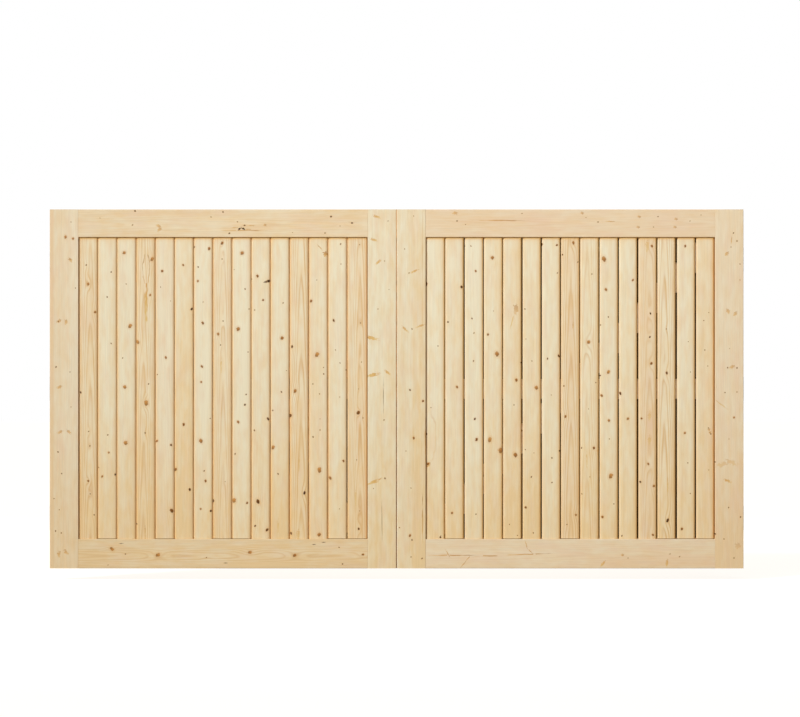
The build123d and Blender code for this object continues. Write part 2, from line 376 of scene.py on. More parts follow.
def dress(mesh, grain, pith, look, edge, blemishes):
    """Gives a plank its place in the log, its tone and its blemishes. grain holds each vertex's
    across, depth and along; look its tone, warmth and figure for each vertex, and edge how
    much painted shade it has on its edges and in its corners."""
    across, depth, along = grain.T
    in_log = np.column_stack([across - pith[0], depth + pith[1], along + pith[2]])
    # how much painted shade lies on each vertex, on edges and in corners
    set_attribute(mesh, "painted_edge_shade", "FLOAT", "POINT", edge)
    set_attribute(mesh, "grain", "FLOAT_VECTOR", "POINT", in_log)
    set_attribute(mesh, "plank_look", "FLOAT_VECTOR", "POINT", look)

    corner_vertex = np.empty(len(mesh.loops), dtype=np.int64)
    mesh.loops.foreach_get("vertex_index", corner_vertex)
    loop_count = np.empty(len(mesh.polygons), dtype=np.int64)
    mesh.polygons.foreach_get("loop_total", loop_count)
    face_of_corner = np.repeat(np.arange(len(loop_count)), loop_count)
    corner_a, corner_l = across[corner_vertex], along[corner_vertex]
    face_a = np.bincount(face_of_corner, corner_a) / loop_count
    face_l = np.bincount(face_of_corner, corner_l) / loop_count

    rows = knot_rows(blemishes)
    far = np.hypot(face_a[:, None] - rows[:, 0], (face_l[:, None] - rows[:, 1]) / FLOW_LENGTH)
    knot = rows[np.argmin(far - rows[:, 2] * BIG_KNOT_FIRST, axis=1)][face_of_corner]
    core = np.column_stack([*in_radii(knot, corner_a, corner_l), knot[:, 5]])
    flow_a = (corner_a - knot[:, 0]) / knot[:, 6]
    flow_l = (corner_l - knot[:, 1]) / (knot[:, 6] * FLOW_LENGTH)
    flow = np.column_stack([flow_a, flow_l, knot[:, 2] * FLOW_SHARE])
    set_attribute(mesh, "knot_core", "FLOAT_VECTOR", "CORNER", core)
    set_attribute(mesh, "knot_flow", "FLOAT_VECTOR", "CORNER", flow)

    rows = mark_rows(blemishes)
    beyond = (np.hypot(*in_radii(rows, face_a[:, None], face_l[:, None])) - 1) * rows[:, 2]
    mark = rows[np.argmin(beyond - DARK_MARK_FIRST * rows[:, 5], axis=1)][face_of_corner]
    oval = np.column_stack([*in_radii(mark, corner_a, corner_l), mark[:, 5]])
    set_attribute(mesh, "mark_core", "FLOAT_VECTOR", "CORNER", oval)
    set_attribute(mesh, "mark_cover", "FLOAT", "CORNER", mark[:, 6])


print("a plank carries its place in the log, its look, and its nearest knot and mark")

# %% [markdown]
# ## Planed softwood
# Planed spruce and pine are bare: the cutter leaves the fibres clean, and no oil or varnish
# darkens them. That gives the eye a pale, dull sheen with darker lines of late wood, brown live
# knots in an orange halo, a few black dead ones and streaks of resin. The material is laid up
# in steps: ring lines over pale wood, then marks, knots and fibres. Ring widths are drawn at the
# coarse end of what spruce has, so that they show from twelve metres away. A picture of wood
# could be wrapped on instead, but its knots would stand in the wrong places and its figure
# would break at every edge. Noise that is long along the grain and short across it serves
# several steps, so it is made first.

# %% Patterns in the wood
# noise in the wood: one wave's length across and along the grain in mm, and its detail
WOOD_PATTERNS = {
    "wander": (71.43, 384.6, 2.0),
    "figure": (33.33, 250.0, 2.0),
    "band": (45.45, 769.2, 3.0),
    "mottle": (22.22, 76.92, 2.0),
    "blush": (52.63, 142.86, 2.0),
    # real fibres are finer than a hair, so bundles of them are drawn, wide enough to show
    "fibre": (3.0, 180.0, 3.0),
}


def wood_sources(tree):
    """The facts in a plank's mesh as sockets, and the noise that follows its grain."""
    fact, noise = {}, {}
    for key in ("grain", "plank_look", "knot_core", "knot_flow", "mark_core"):
        fact[key] = node(tree, "Attribute", attribute_name=key).outputs["Vector"]
    # one of these is the share of painted shade on a plank's edges and corners
    for key in ("painted_edge_shade", "mark_cover"):
        fact[key] = node(tree, "Attribute", attribute_name=key).outputs["Fac"]
    look = node(tree, "SeparateXYZ", {0: fact["plank_look"]})
    fact["tone"], fact["warmth"], fact["figure"] = look.outputs
    for key, (across, along, detail) in WOOD_PATTERNS.items():
        waves = (1 / (across * MM), 1 / (across * MM), 1 / (along * MM))
        at = node(tree, "VectorMath", {0: fact["grain"], 1: waves}, operation="MULTIPLY")
        noise[key] = node(tree, "TexNoise", {"Vector": at, "Scale": 1.0, "Detail": detail})
    return fact, noise


print(len(WOOD_PATTERNS), "patterns that follow the grain")

# %% [markdown]
# ## Late wood
# Each summer a tree ends its ring with a line of dense, darker wood. A ring is a cylinder round
# the pith, so a ramp over the distance from the pith draws it: arches where the pith lies under
# the plank, straight lines where it lies beside it. The tree's taper closes the arches into
# tongues. Near a knot the distance is raised by a smooth bulge, and the lines flow round it. A
# stripe texture would be simpler, but it knows nothing of the log.

# %% Growth rings
RING_WIDTH = 6.0 * MM
TREE_TAPER = 0.016
WANDER = 5.0 * MM
# the share of late wood over one ring, from one winter to the next
RING_STOPS = [(0.0, grey(0.5)), (0.1, grey(0.08)), (0.55, grey(0.0)), (0.9, grey(1.0)), (1.0, grey(0.6))]


def late_wood(tree, fact, noise):
    """The share of late wood: more on planks with a strong figure, and faded in slow patches."""
    log = node(tree, "SeparateXYZ", {0: fact["grain"]}).outputs
    flat = node(tree, "CombineXYZ", {0: log[0], 1: log[1]})
    from_pith = node(tree, "VectorMath", {0: flat}, operation="LENGTH")
    tapered = node(tree, "Math", {0: log[2], 1: TREE_TAPER, 2: from_pith}, operation="MULTIPLY_ADD")
    bent = node(tree, "Math", {0: noise["wander"], 1: WANDER, 2: tapered}, operation="MULTIPLY_ADD")
    flow = node(tree, "SeparateXYZ", {0: fact["knot_flow"]}).outputs
    flow_flat = node(tree, "CombineXYZ", {0: flow[0], 1: flow[1]})
    flow_square = node(tree, "VectorMath", {0: flow_flat, 1: flow_flat}, operation="DOT_PRODUCT")
    flow_minus = node(tree, "Math", {0: flow_square, 1: -1.0}, operation="MULTIPLY")
    bulge = node(tree, "Math", {0: flow_minus}, operation="EXPONENT")
    ringed = node(tree, "Math", {0: bulge, 1: flow[2], 2: bent}, operation="MULTIPLY_ADD")
    turns = node(tree, "Math", {0: ringed, 1: RING_WIDTH}, operation="DIVIDE")
    in_ring = node(tree, "Math", {0: turns}, operation="FRACT")
    ring_line = node(tree, "ValToRGB", {0: in_ring}, RING_STOPS)
    patch_share = node(tree, "MapRange", {0: noise["figure"], 1: 0.3, 2: 0.7, 3: 0.35, 4: 1.0})
    drawn = node(tree, "Math", {0: ring_line, 1: fact["figure"]}, operation="MULTIPLY")
    return node(tree, "Math", {0: drawn, 1: patch_share}, operation="MULTIPLY")


print("growth rings", RING_WIDTH / MM, "mm wide")

# %% [markdown]
# ## Early wood
# The pale wood between the lines sets a plank's colour. Each plank has its own tone between two
# colours, and long soft bands, short clouds and a rosy blush vary it. Over that, shade is painted
# as a warmer brown on rounded edges and in the corners by the frame. One colour with a little
# noise would do from far away, but thirty boards beside each other would look like one sheet.

# %% Tone, blush and painted edge shade
BAND_TONE, MOTTLE_TONE, BLUSH_SHARE = 0.2, 0.27, 0.28
# the second colour is painted shade: the warm brown of shaded edges and of corners where light bounces
# between wood
ROSY, EDGE_SHADE_COLOUR = "#E3C2A0", "#E2AD5C"


def early_wood(tree, fact, noise, pale, tan):
    """The colour between the ring lines, from the plank's tone, warmth and painted edge shade."""
    tone = fact["tone"]
    for key, reach in (("band", BAND_TONE), ("mottle", MOTTLE_TONE)):
        change = node(tree, "MapRange", {0: noise[key], 1: 0.3, 2: 0.7, 3: -reach, 4: reach})
        tone = node(tree, "Math", {0: tone, 1: change}, operation="ADD")
    tone.use_clamp = True
    blush = node(tree, "MapRange", {0: noise["blush"], 1: 0.48, 2: 0.72, 3: 0.0, 4: BLUSH_SHARE})
    warmed = node(tree, "Math", {0: fact["warmth"], 1: blush}, operation="ADD", use_clamp=True)
    early = node(tree, "Mix", {0: tone, 6: linear(pale), 7: linear(tan)}, data_type="RGBA")
    rosy = node(tree, "Mix", {0: warmed, 6: early, 7: linear(ROSY)}, data_type="RGBA")
    # the last mix lays the painted shade over edges and corners
    return node(tree, "Mix", {0: fact["painted_edge_shade"], 6: rosy, 7: linear(EDGE_SHADE_COLOUR)}, data_type="RGBA")


print("tone strays by", BAND_TONE + MOTTLE_TONE, "at most")

# %% [markdown]
# ## Resin, bark and cracks
# Marks lie on the rings and under the knots. A mark is an oval with a frayed outline that follows
# the grain, and its tint runs from golden resin to black bark. The outline alone makes the loops
# that resin draws round a healed branch. Each could be a mesh of its own, but a stain has no
# thickness.

# %% Marks
# frayed outlines: waves in each of the oval's two radii, and how far the edge strays
MARK_RAGS, MARK_STRAY = (1.5, 2.6, 0.0), 0.6
OUTLINE_STRAY, OUTLINE_WIDTH, OUTLINE_CORE = 0.25, 0.14, 0.03
# one end of a mark is darker than the other by this much of a tint for each radius
TINT_DRIFT = 0.16
MARK_TINTS = [
    (0.0, linear("#D9B062")),
    (0.2, linear("#CE9748")),
    (0.4, linear("#B07A3C")),
    (0.8, linear("#6E4418")),
    (1.0, linear("#301600")),
]


def with_marks(tree, fact, wood):
    """The wood's colour with its marks; those with a negative cover get their outline alone."""
    mark = node(tree, "SeparateXYZ", {0: fact["mark_core"]}).outputs
    flat = node(tree, "CombineXYZ", {0: mark[0], 1: mark[1]})
    frayed_at = node(tree, "VectorMath", {0: flat, 1: MARK_RAGS}, operation="MULTIPLY")
    frayed_along = node(tree, "VectorMath", {0: frayed_at, 1: fact["grain"]}, operation="ADD")
    frayed = node(tree, "TexNoise", {"Vector": frayed_along, "Scale": 1.0, "Detail": 1.0})
    fray = node(tree, "MapRange", {0: frayed, 1: 0.25, 2: 0.75, 3: -MARK_STRAY, 4: MARK_STRAY})
    length = node(tree, "VectorMath", {0: flat}, operation="LENGTH")
    radii = node(tree, "Math", {0: length, 1: fray}, operation="ADD")
    filled = node(
        tree, "MapRange", {0: radii, 1: 1.2, 2: 0.5, 3: 0.0, 4: 1.0}, interpolation_type="SMOOTHSTEP"
    )
    waver = node(tree, "Math", {0: fray, 1: OUTLINE_STRAY, 2: length}, operation="MULTIPLY_ADD")
    from_outline = node(tree, "Math", {0: waver, 1: 1.0}, operation="SUBTRACT")
    off_outline = node(tree, "Math", {0: from_outline}, operation="ABSOLUTE")
    on_outline = node(
        tree, "MapRange", {0: off_outline, 1: OUTLINE_WIDTH, 2: OUTLINE_CORE, 3: 0.0, 4: 1.0}
    )
    from_tips = node(tree, "Math", {0: mark[0]}, operation="ABSOLUTE")
    off_tips = node(tree, "MapRange", {0: from_tips, 1: 0.2, 2: 0.6, 3: 0.0, 4: 1.0})
    outlined = node(tree, "Math", {0: on_outline, 1: off_tips}, operation="MULTIPLY")
    cover = fact["mark_cover"]
    fill_share = node(tree, "Math", {0: cover, 1: filled}, operation="MULTIPLY", use_clamp=True)
    minus_cover = node(tree, "Math", {0: cover, 1: -1.0}, operation="MULTIPLY")
    line_share = node(tree, "Math", {0: minus_cover, 1: outlined}, operation="MULTIPLY", use_clamp=True)
    share = node(tree, "Math", {0: fill_share, 1: line_share}, operation="ADD", use_clamp=True)
    tint = node(tree, "Math", {0: mark[1], 1: TINT_DRIFT, 2: mark[2]}, operation="MULTIPLY_ADD")
    colour = node(tree, "ValToRGB", {0: tint}, MARK_TINTS)
    return node(tree, "Mix", {0: share, 6: wood, 7: colour}, data_type="RGBA")


print("marks take", len(MARK_TINTS), "tints from resin to bark")

# %% [markdown]
# ## Knots
# A knot is a branch cut across: a ragged round with a dark rim, a paler heart, more shade on
# its low side and a soft orange halo in the wood around it. A knot could be a small disc let into
# the plank, but on a planed face it lies flush, so it is drawn.

# %% Knots in the wood
# ragged edges: waves in each radius and between tints, and how far the edge strays
KNOT_RAGS, KNOT_STRAY = (1.6, 1.6, 7.0), 0.3
KNOT_COVER, HALO_REACH, HALO_COVER, HALO = 0.96, 2.5, 0.32, "#D9A35E"
KNOT_TINTS = [
    (0.0, linear("#DDA658")),
    (0.42, linear("#B87E40")),
    (0.6, linear("#865014")),
    (0.95, linear("#3E1C00")),
]
# a knot's brightness from its heart outwards, over two radii: the darkest ring is its rim
RIM_STOPS = [(0.0, grey(0.75)), (0.18, grey(1.0)), (0.3, grey(1.12)), (0.46, grey(0.72)), (0.6, grey(1.0))]


def with_knots(tree, fact, wood):
    """The wood's colour with its knots and their halos."""
    core = node(tree, "SeparateXYZ", {0: fact["knot_core"]}).outputs
    flat = node(tree, "CombineXYZ", {0: core[0], 1: core[1]})
    ragged_at = node(tree, "VectorMath", {0: fact["knot_core"], 1: KNOT_RAGS}, operation="MULTIPLY")
    ragged = node(tree, "TexNoise", {"Vector": ragged_at, "Scale": 1.0, "Detail": 2.0})
    uneven = node(tree, "MapRange", {0: ragged, 1: 0.2, 2: 0.8, 3: -KNOT_STRAY, 4: KNOT_STRAY})
    length = node(tree, "VectorMath", {0: flat}, operation="LENGTH")
    radii = node(tree, "Math", {0: length, 1: uneven}, operation="ADD")
    half_radii = node(tree, "Math", {0: radii, 1: 0.5}, operation="MULTIPLY")
    tint = node(tree, "ValToRGB", {0: core[2]}, KNOT_TINTS)
    rim = node(tree, "ValToRGB", {0: half_radii}, RIM_STOPS)
    low_side = node(tree, "MapRange", {0: core[1], 1: -0.7, 2: 0.4, 3: 0.62, 4: 1.1})
    crescent = node(tree, "Math", {0: rim, 1: low_side}, operation="MULTIPLY")
    colour = node(tree, "Mix", {0: 1.0, 6: tint, 7: crescent}, data_type="RGBA", blend_type="MULTIPLY")
    cover = node(
        tree, "MapRange", {0: radii, 1: 1.12, 2: 0.8, 3: 0.0, 4: KNOT_COVER}, interpolation_type="SMOOTHSTEP"
    )
    halo = node(
        tree, "MapRange", {0: radii, 1: HALO_REACH, 2: 0.8, 3: 0.0, 4: HALO_COVER},
        interpolation_type="SMOOTHSTEP",
    )
    haloed = node(tree, "Mix", {0: halo, 6: wood, 7: linear(HALO)}, data_type="RGBA")
    return node(tree, "Mix", {0: cover, 6: haloed, 7: colour}, data_type="RGBA")


print("a knot's halo reaches", HALO_REACH, "radii")

# %% [markdown]
# ## The finished wood
# The steps above are laid over each other, and the fibres come last: fine lines along the grain
# that carry the sheen of the planed face and, with the harder ring lines, a little relief. Wood's
# index of refraction is about 1.5, and the gloss is turned down because the face is bare. The
# boards are a little yellower, and the frame's wider members calmer.

# %% Boards' and frame's wood
FIBRE_DARK, FIBRE_BRIGHT = 0.945, 1.045
SHEEN_SMOOTH, SHEEN_ROUGH = 0.5, 0.66
FIBRE_RELIEF, RING_RELIEF = 0.3 * MM, 0.4 * MM


def planed_softwood(name, pale, tan, late):
    """Bare planed softwood; pale and tan are the lightest and darkest planks' early wood, and
    late is the colour of the ring lines."""
    material, tree = new_material(name)
    fact, noise = wood_sources(tree)
    late_share = late_wood(tree, fact, noise)
    early = early_wood(tree, fact, noise, pale, tan)
    ringed = node(tree, "Mix", {0: late_share, 6: early, 7: linear(late)}, data_type="RGBA")
    knotted = with_knots(tree, fact, with_marks(tree, fact, ringed))

    fibre = noise["fibre"]
    fibre_tone = node(tree, "MapRange", {0: fibre, 1: 0.25, 2: 0.75, 3: FIBRE_DARK, 4: FIBRE_BRIGHT})
    wood = node(
        tree, "Mix", {0: 1.0, 6: knotted, 7: fibre_tone}, data_type="RGBA", blend_type="MULTIPLY"
    )
    sheen = node(tree, "MapRange", {0: fibre, 1: 0.2, 2: 0.8, 3: SHEEN_SMOOTH, 4: SHEEN_ROUGH})
    fibre_bump = node(tree, "Bump", {"Height": fibre, "Strength": 0.12, "Distance": FIBRE_RELIEF})
    ring_bump = node(
        tree, "Bump",
        {"Height": late_share, "Strength": 0.15, "Distance": RING_RELIEF, "Normal": fibre_bump},
    )
    surface = node(
        tree, "BsdfPrincipled",
        {
            "Base Color": wood, "Roughness": sheen, "Normal": ring_bump,
            "IOR": 1.5, "Specular IOR Level": 0.12,
        },
    )
    node(tree, "OutputMaterial", {"Surface": surface})
    return material


board_wood = planed_softwood("planed_spruce_boards", "#EADDBB", "#E7CA97", "#D0A060")
frame_wood = planed_softwood("planed_pine_frame", "#E8DCBB", "#E3C795", "#D0A469")
print("materials", board_wood.name, frame_wood.name)

# %% [markdown]
# ## Soft zones of tone
# No plank is one tone all over: sapwood turns to heartwood across it, and resin yellows some
# stretches. Each zone was read in the photograph as two corners of a rectangle. It fades out
# slowly along the grain and quickly across it, as colour in wood does. Noise could make such
# zones too, but not where the photograph shows them.

# %% Soft zones of tone, as seen
# left, top, right and bottom in picture points, then the change of tone and of warmth
ZONE_SOFTNESS, ZONE_FADE = 9 * MM, 90 * MM
ZONES_SEEN = {
    "left_hanging_stile": [(44, 205, 54, 575, 0.75, 0.1), (56, 425, 66, 575, 0.12, 0.0)],
    "left_meeting_stile": [(384, 205, 396, 430, 0.1, 0.0)],
    "right_meeting_stile": [(412, 230, 427, 575, 0.35, 0.0), (392, 440, 409, 575, -0.1, 0.0)],
    "right_hanging_stile": [(735, 205, 746, 575, 0.1, 0.0)],
    "left_top_rail": [
        (105, 211, 240, 216, 0.25, 0.1), (230, 224, 268, 231, 0.4, 0.1), (300, 206, 374, 220, 0.3, 0.0)
    ],
    "right_top_rail": [(472, 219, 544, 222, 0.3, 0.2)],
    "left_bottom_rail": [(230, 556, 330, 566, 0.15, 0.0)],
    "right_bottom_rail": [(590, 556, 716, 566, 0.25, 0.2)],
    "left_board_15": [(357, 240, 368, 540, 0.35, 0.1)],
    "left_board_12": [(296, 395, 302, 500, 0.3, 0.1)],
    "left_board_06": [(176, 330, 192, 540, 0.15, 0.0)],
    "right_board_08": [(568, 300, 574, 420, 0.3, 0.1)],
    "right_board_04": [(647, 410, 654, 450, 0.6, 0.3)],
    "right_board_01": [(709, 240, 716, 540, 0.15, 0.1)],
}


def zone_change(name, x, z):
    """Change of tone and warmth at places of the front that lie in a plank's soft zones."""
    change = np.zeros((len(x), 2))
    lying = name.endswith("rail")
    soft_x, soft_z = (ZONE_FADE, ZONE_SOFTNESS) if lying else (ZONE_SOFTNESS, ZONE_FADE)
    for left, top, right, bottom, tone, warmth in ZONES_SEEN.get(name, []):
        (x0, z1), (x1, z0) = seen_at(left, top), seen_at(right, bottom)
        inside = np.minimum(np.minimum(x - x0, x1 - x) / soft_x, np.minimum(z - z0, z1 - z) / soft_z)
        share = np.clip(0.5 + inside, 0, 1)
        change += share[:, None] * (tone, warmth)
    return change


print(sum(len(zones) for zones in ZONES_SEEN.values()), "zones of tone")

# %% [markdown]
# ## The skin of a plank
# A plank is its section swept along the grain. The section's front is divided into columns
# and its length into rows of about a centimetre, which lets each small face belong to the
# knot nearest to it. The end faces get vertices of their own, because end grain is darker.
# Cutting a box with bevels would be quicker, but its long faces couldn't carry the knots.

# %% Sweep a section along the grain
CELL = 12 * MM
ARRIS_STEPS = 5
BACK_STEPS = 2


def rounded(corner, radius, start, steps):
    """Points of a quarter round about a corner's centre, from a start angle in degrees."""
    turn = np.radians(start + np.linspace(0, 90, steps + 1))
    return np.column_stack([corner[0] + radius * np.cos(turn), corner[1] + radius * np.sin(turn)])


def plain_section(width, front, back, front_arris, back_arris):
    """A plank's section, across and deep, with its front divided into columns."""
    columns = max(2, round((width - 2 * front_arris) / CELL))
    face = np.linspace(front_arris, width - front_arris, columns + 1)[1:-1]
    parts = [
        rounded((front_arris, front + front_arris), front_arris, 180, ARRIS_STEPS),
        np.column_stack([face, np.full(len(face), front)]),
        rounded((width - front_arris, front + front_arris), front_arris, 270, ARRIS_STEPS),
        rounded((width - back_arris, back - back_arris), back_arris, 0, BACK_STEPS),
        np.column_stack([face[::-1], np.full(len(face), back)]),
        rounded((back_arris, back - back_arris), back_arris, 90, BACK_STEPS),
    ]
    return np.concatenate(parts)


def sweep(section, start, finish):
    """Vertices (across, depth, along), faces and end flags of a section swept along the grain.
    start and finish give each section point's two ends."""
    count = len(section)
    length = float(np.max(finish) - np.min(start))
    rows = max(2, round(length / CELL))
    share = np.linspace(0, 1, rows + 1)[:, None]
    along = start + share * (finish - start)
    across, depth = (np.tile(column, (rows + 1, 1)) for column in section.T)
    side = np.dstack([across, depth, along]).reshape(-1, 3)
    ends = np.concatenate([side[:count], side[-count:]])
    vertices = np.concatenate([side, ends])
    here = np.arange(count)
    beyond = (here + 1) % count
    faces = []
    for row in range(rows):
        low, high = row * count, (row + 1) * count
        faces += np.column_stack([here + low, beyond + low, beyond + high, here + high]).tolist()
    first_end = len(side)
    faces.append((here[::-1] + first_end).tolist())
    faces.append((here + first_end + count).tolist())
    is_end = np.repeat([0.0, 1.0], [len(side), len(ends)])
    return vertices, faces, is_end


print("cells of", CELL / MM, "mm")

# %% A finished plank
SHARP_FROM = 40
END_GRAIN_TONE = 0.45
# painted shade: wood is drawn tanner near the foot, where less light falls: how much, on most planks and on
# some, and from which height
FOOT_SHADE, FOOT_SHADE_FROM = 0.7, 0.45
OWN_FOOT_SHADES = {
    "left_hanging_stile": 0.35, "left_meeting_stile": 0.45, "right_meeting_stile": 0.3,
    "left_board_03": 0.9, "left_board_07": 0.95, "left_board_11": 1.0, "right_board_15": 0.9,
    "right_board_08": 0.3, "right_board_04": 0.2, "right_board_01": 0.4,
}


def plank(name, sweeps, place, pith, look, blemishes, body, replaced, wood, edge=None):
    """One finished plank of one or more swept sections. place turns (across, depth, along)
    into the frame's x, y and z; look is its tone, warmth and figure; edge gives each vertex's
    share of painted shade."""
    vertices, faces, is_end = [], [], []
    for swept_vertices, swept_faces, swept_end in sweeps:
        offset = sum(len(done) for done in vertices)
        vertices.append(swept_vertices)
        faces += [[index + offset for index in face] for face in swept_faces]
        is_end.append(swept_end)
    grain, is_end = np.concatenate(vertices), np.concatenate(is_end)
    placed = place(grain)
    mesh = bpy.data.meshes.new(name)
    mesh.from_pydata(placed.tolist(), [], faces)
    shell = bmesh.new()
    shell.from_mesh(mesh)
    turned_in = shell.calc_volume(signed=True) < 0
    shell.free()
    if turned_in:
        mesh.flip_normals()
    mesh.update()

    looks = np.tile(look, (len(grain), 1)).astype(float)
    looks[:, :2] += zone_change(replaced, placed[:, 0], placed[:, 2])
    height_share = (placed[:, 2] - foot_z) / (head_z - foot_z)
    near_foot = np.clip(1 - height_share / FOOT_SHADE_FROM, 0, 1)
    # end grain is darker, and the foot gets its painted shade
    looks[:, 0] += is_end * END_GRAIN_TONE + OWN_FOOT_SHADES.get(replaced, FOOT_SHADE) * near_foot
    dress(mesh, grain, pith, looks, edge(grain) if edge else np.zeros(len(grain)), blemishes)
    mesh.shade_smooth()
    mesh.set_sharp_from_angle(angle=math.radians(SHARP_FROM))
    mesh.materials.append(wood)
    piece = put_in_scene(name, mesh)
    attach(piece, body)
    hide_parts(replaced)


print(len(OWN_FOOT_SHADES), "planks have a foot tone of their own")

# %% [markdown]
# ## Boards
# Fifteen boards a leaf, each with its own tone. The table gives, from left to right as the
# photograph shows them, each board's tone (0 pale to 1 tan), warmth, strength of figure and
# whether the pith lies under its middle (arched figure) or off to one side (straight lines).
# Then come its knots and marks: kind, the picture point where it shows, read off, and for a
# mark that isn't in line with the grain its slant in degrees. Knots could be strewn at random,
# but their places are what makes one gate look like itself.

# %% Boards of the left leaf, as seen
ARCHED, STRAIGHT = "arched", "straight"
LEFT_BOARDS_SEEN = [
    ((0.47, 0.05, 0.75, ARCHED), [
        ("s", 86, 265), ("m", 88, 284), ("m", 95, 312), ("s", 88.5, 431.5), ("s", 89.7, 446),
        ("m", 88, 481), ("s", 90, 494), ("s", 94, 515), ("S", 80.5, 392.5),
    ]),
    ((0.2, 0, 0.25, STRAIGHT), [
        ("s", 111, 272), ("s", 107, 297), ("s", 111, 343.5), ("s", 107.6, 435), ("m", 108.6, 452.6),
        ("m", 102, 476.5), ("S", 115, 474.6), ("p", 98.5, 467.6),
    ]),
    ((0.13, 0, 0.4, STRAIGHT), [
        ("b", 124, 252.7), ("p", 126, 284), ("b", 130, 326), ("p", 122.5, 358), ("b", 124.6, 387),
        ("b", 125.5, 443),
    ]),
    ((0.47, 0.05, 0.7, ARCHED), [
        ("b", 152, 259), ("m", 150, 295), ("b", 137.5, 342), ("s", 148.4, 384), ("b", 146, 403),
        ("s", 145, 433), ("s", 136.6, 524), ("loop", 146, 269), ("pocket", 146, 301),
        ("tick", 145, 530),
    ]),
    ((0.1, 0.1, 0.3, STRAIGHT), [
        ("m", 162, 271), ("p", 160.5, 287), ("p", 170.4, 301), ("m", 165.6, 357.5), ("p", 157.3, 374.5),
        ("m", 156.7, 441), ("M", 171, 445), ("B", 171.5, 510.6),
    ]),
    ((0.38, 0, 0.3, STRAIGHT), [
        ("m", 183, 265), ("M", 191.5, 309), ("m", 183.5, 424.5), ("m", 175.5, 469.5),
        ("M", 189.6, 489.7),
    ]),
    ((0.02, 0, 0.2, STRAIGHT), [
        ("m", 209, 248.5), ("s", 194.3, 247), ("s", 198, 267), ("m", 197.7, 281), ("p", 203, 302),
        ("m", 202.6, 323), ("m", 201.7, 366.5), ("m", 201, 382), ("s", 210, 418.5), ("b", 200.7, 441),
        ("s", 204, 471), ("m", 205.4, 481), ("m", 200.5, 509), ("M", 210.7, 511),
    ]),
    ((0.3, 0.1, 0.6, ARCHED), [
        ("m", 222, 243), ("s", 222, 259), ("s", 223, 321), ("m", 218, 334), ("s", 220.5, 345),
        ("p", 225, 481.6), ("M", 213.2, 501), ("resin", 221, 366),
    ]),
    ((0.03, 0, 0.2, STRAIGHT), [
        ("b", 242, 253), ("p", 234, 269.5), ("s", 245, 289), ("s", 249, 309), ("b", 238, 329),
        ("s", 248, 352), ("S", 246, 394.5), ("S", 244.8, 404.8), ("m", 238, 422), ("s", 235, 454),
        ("b", 234, 500.5), ("m", 247, 503),
    ]),
    ((0.2, 0, 0.3, STRAIGHT), [
        ("m", 257.4, 276), ("s", 251.5, 279), ("bark", 266.2, 281.8, 78), ("K", 268.6, 281.0),
        ("m", 263, 300), ("p", 254.6, 310), ("M", 268, 419), ("s", 254.4, 430.4), ("B", 258, 501.7),
        ("S", 255, 526), ("M", 267, 530),
    ]),
    ((0.2, 0, 0.35, STRAIGHT), [
        ("s", 283, 303), ("b", 282, 338), ("p", 286.5, 370.5), ("s", 281.4, 392), ("s", 272.7, 410.5),
        ("b", 273, 447.4), ("s", 278, 474), ("resin", 278, 526),
    ]),
    ((0.35, 0.05, 0.85, ARCHED), [
        ("M", 292, 346.7), ("b", 295, 391), ("B", 290, 415.6), ("resin", 299, 464), ("M", 304.4, 493),
        ("M", 291, 533.5), ("patch", 298, 535),
    ]),
    ((0.25, 0.05, 0.3, STRAIGHT), [
        ("amber", 325.4, 254), ("tick", 320, 247.5, -42), ("p", 316.7, 280), ("m", 311, 301),
        ("b", 317, 354.6), ("p", 323.5, 367.5), ("s", 323.7, 374), ("s", 312.8, 384), ("p", 319.6, 394),
        ("p", 320, 419), ("p", 320, 430), ("s", 313, 437), ("b", 319.4, 470), ("b", 319, 534.8),
    ]),
    ((0.2, 0, 0.2, STRAIGHT), [
        ("s", 340.6, 244), ("p", 341, 264), ("M", 333.7, 320.5), ("p", 335.5, 350), ("p", 340, 363),
        ("s", 346, 370), ("p", 339.7, 397), ("m", 343.4, 461), ("m", 330, 478), ("p", 339.5, 509),
    ]),
    ((0.27, 0.08, 0.8, ARCHED), [
        ("p", 359.5, 244.6), ("s", 360.5, 323), ("p", 361.4, 362), ("p", 358.5, 389),
        ("B", 358.4, 412.7), ("s", 363, 418), ("p", 356.6, 460), ("p", 359.6, 511), ("M", 358.7, 529),
        ("resin", 355.5, 498),
    ]),
]
print(sum(len(seen) for look, seen in LEFT_BOARDS_SEEN), "knots and marks on the left leaf's boards")

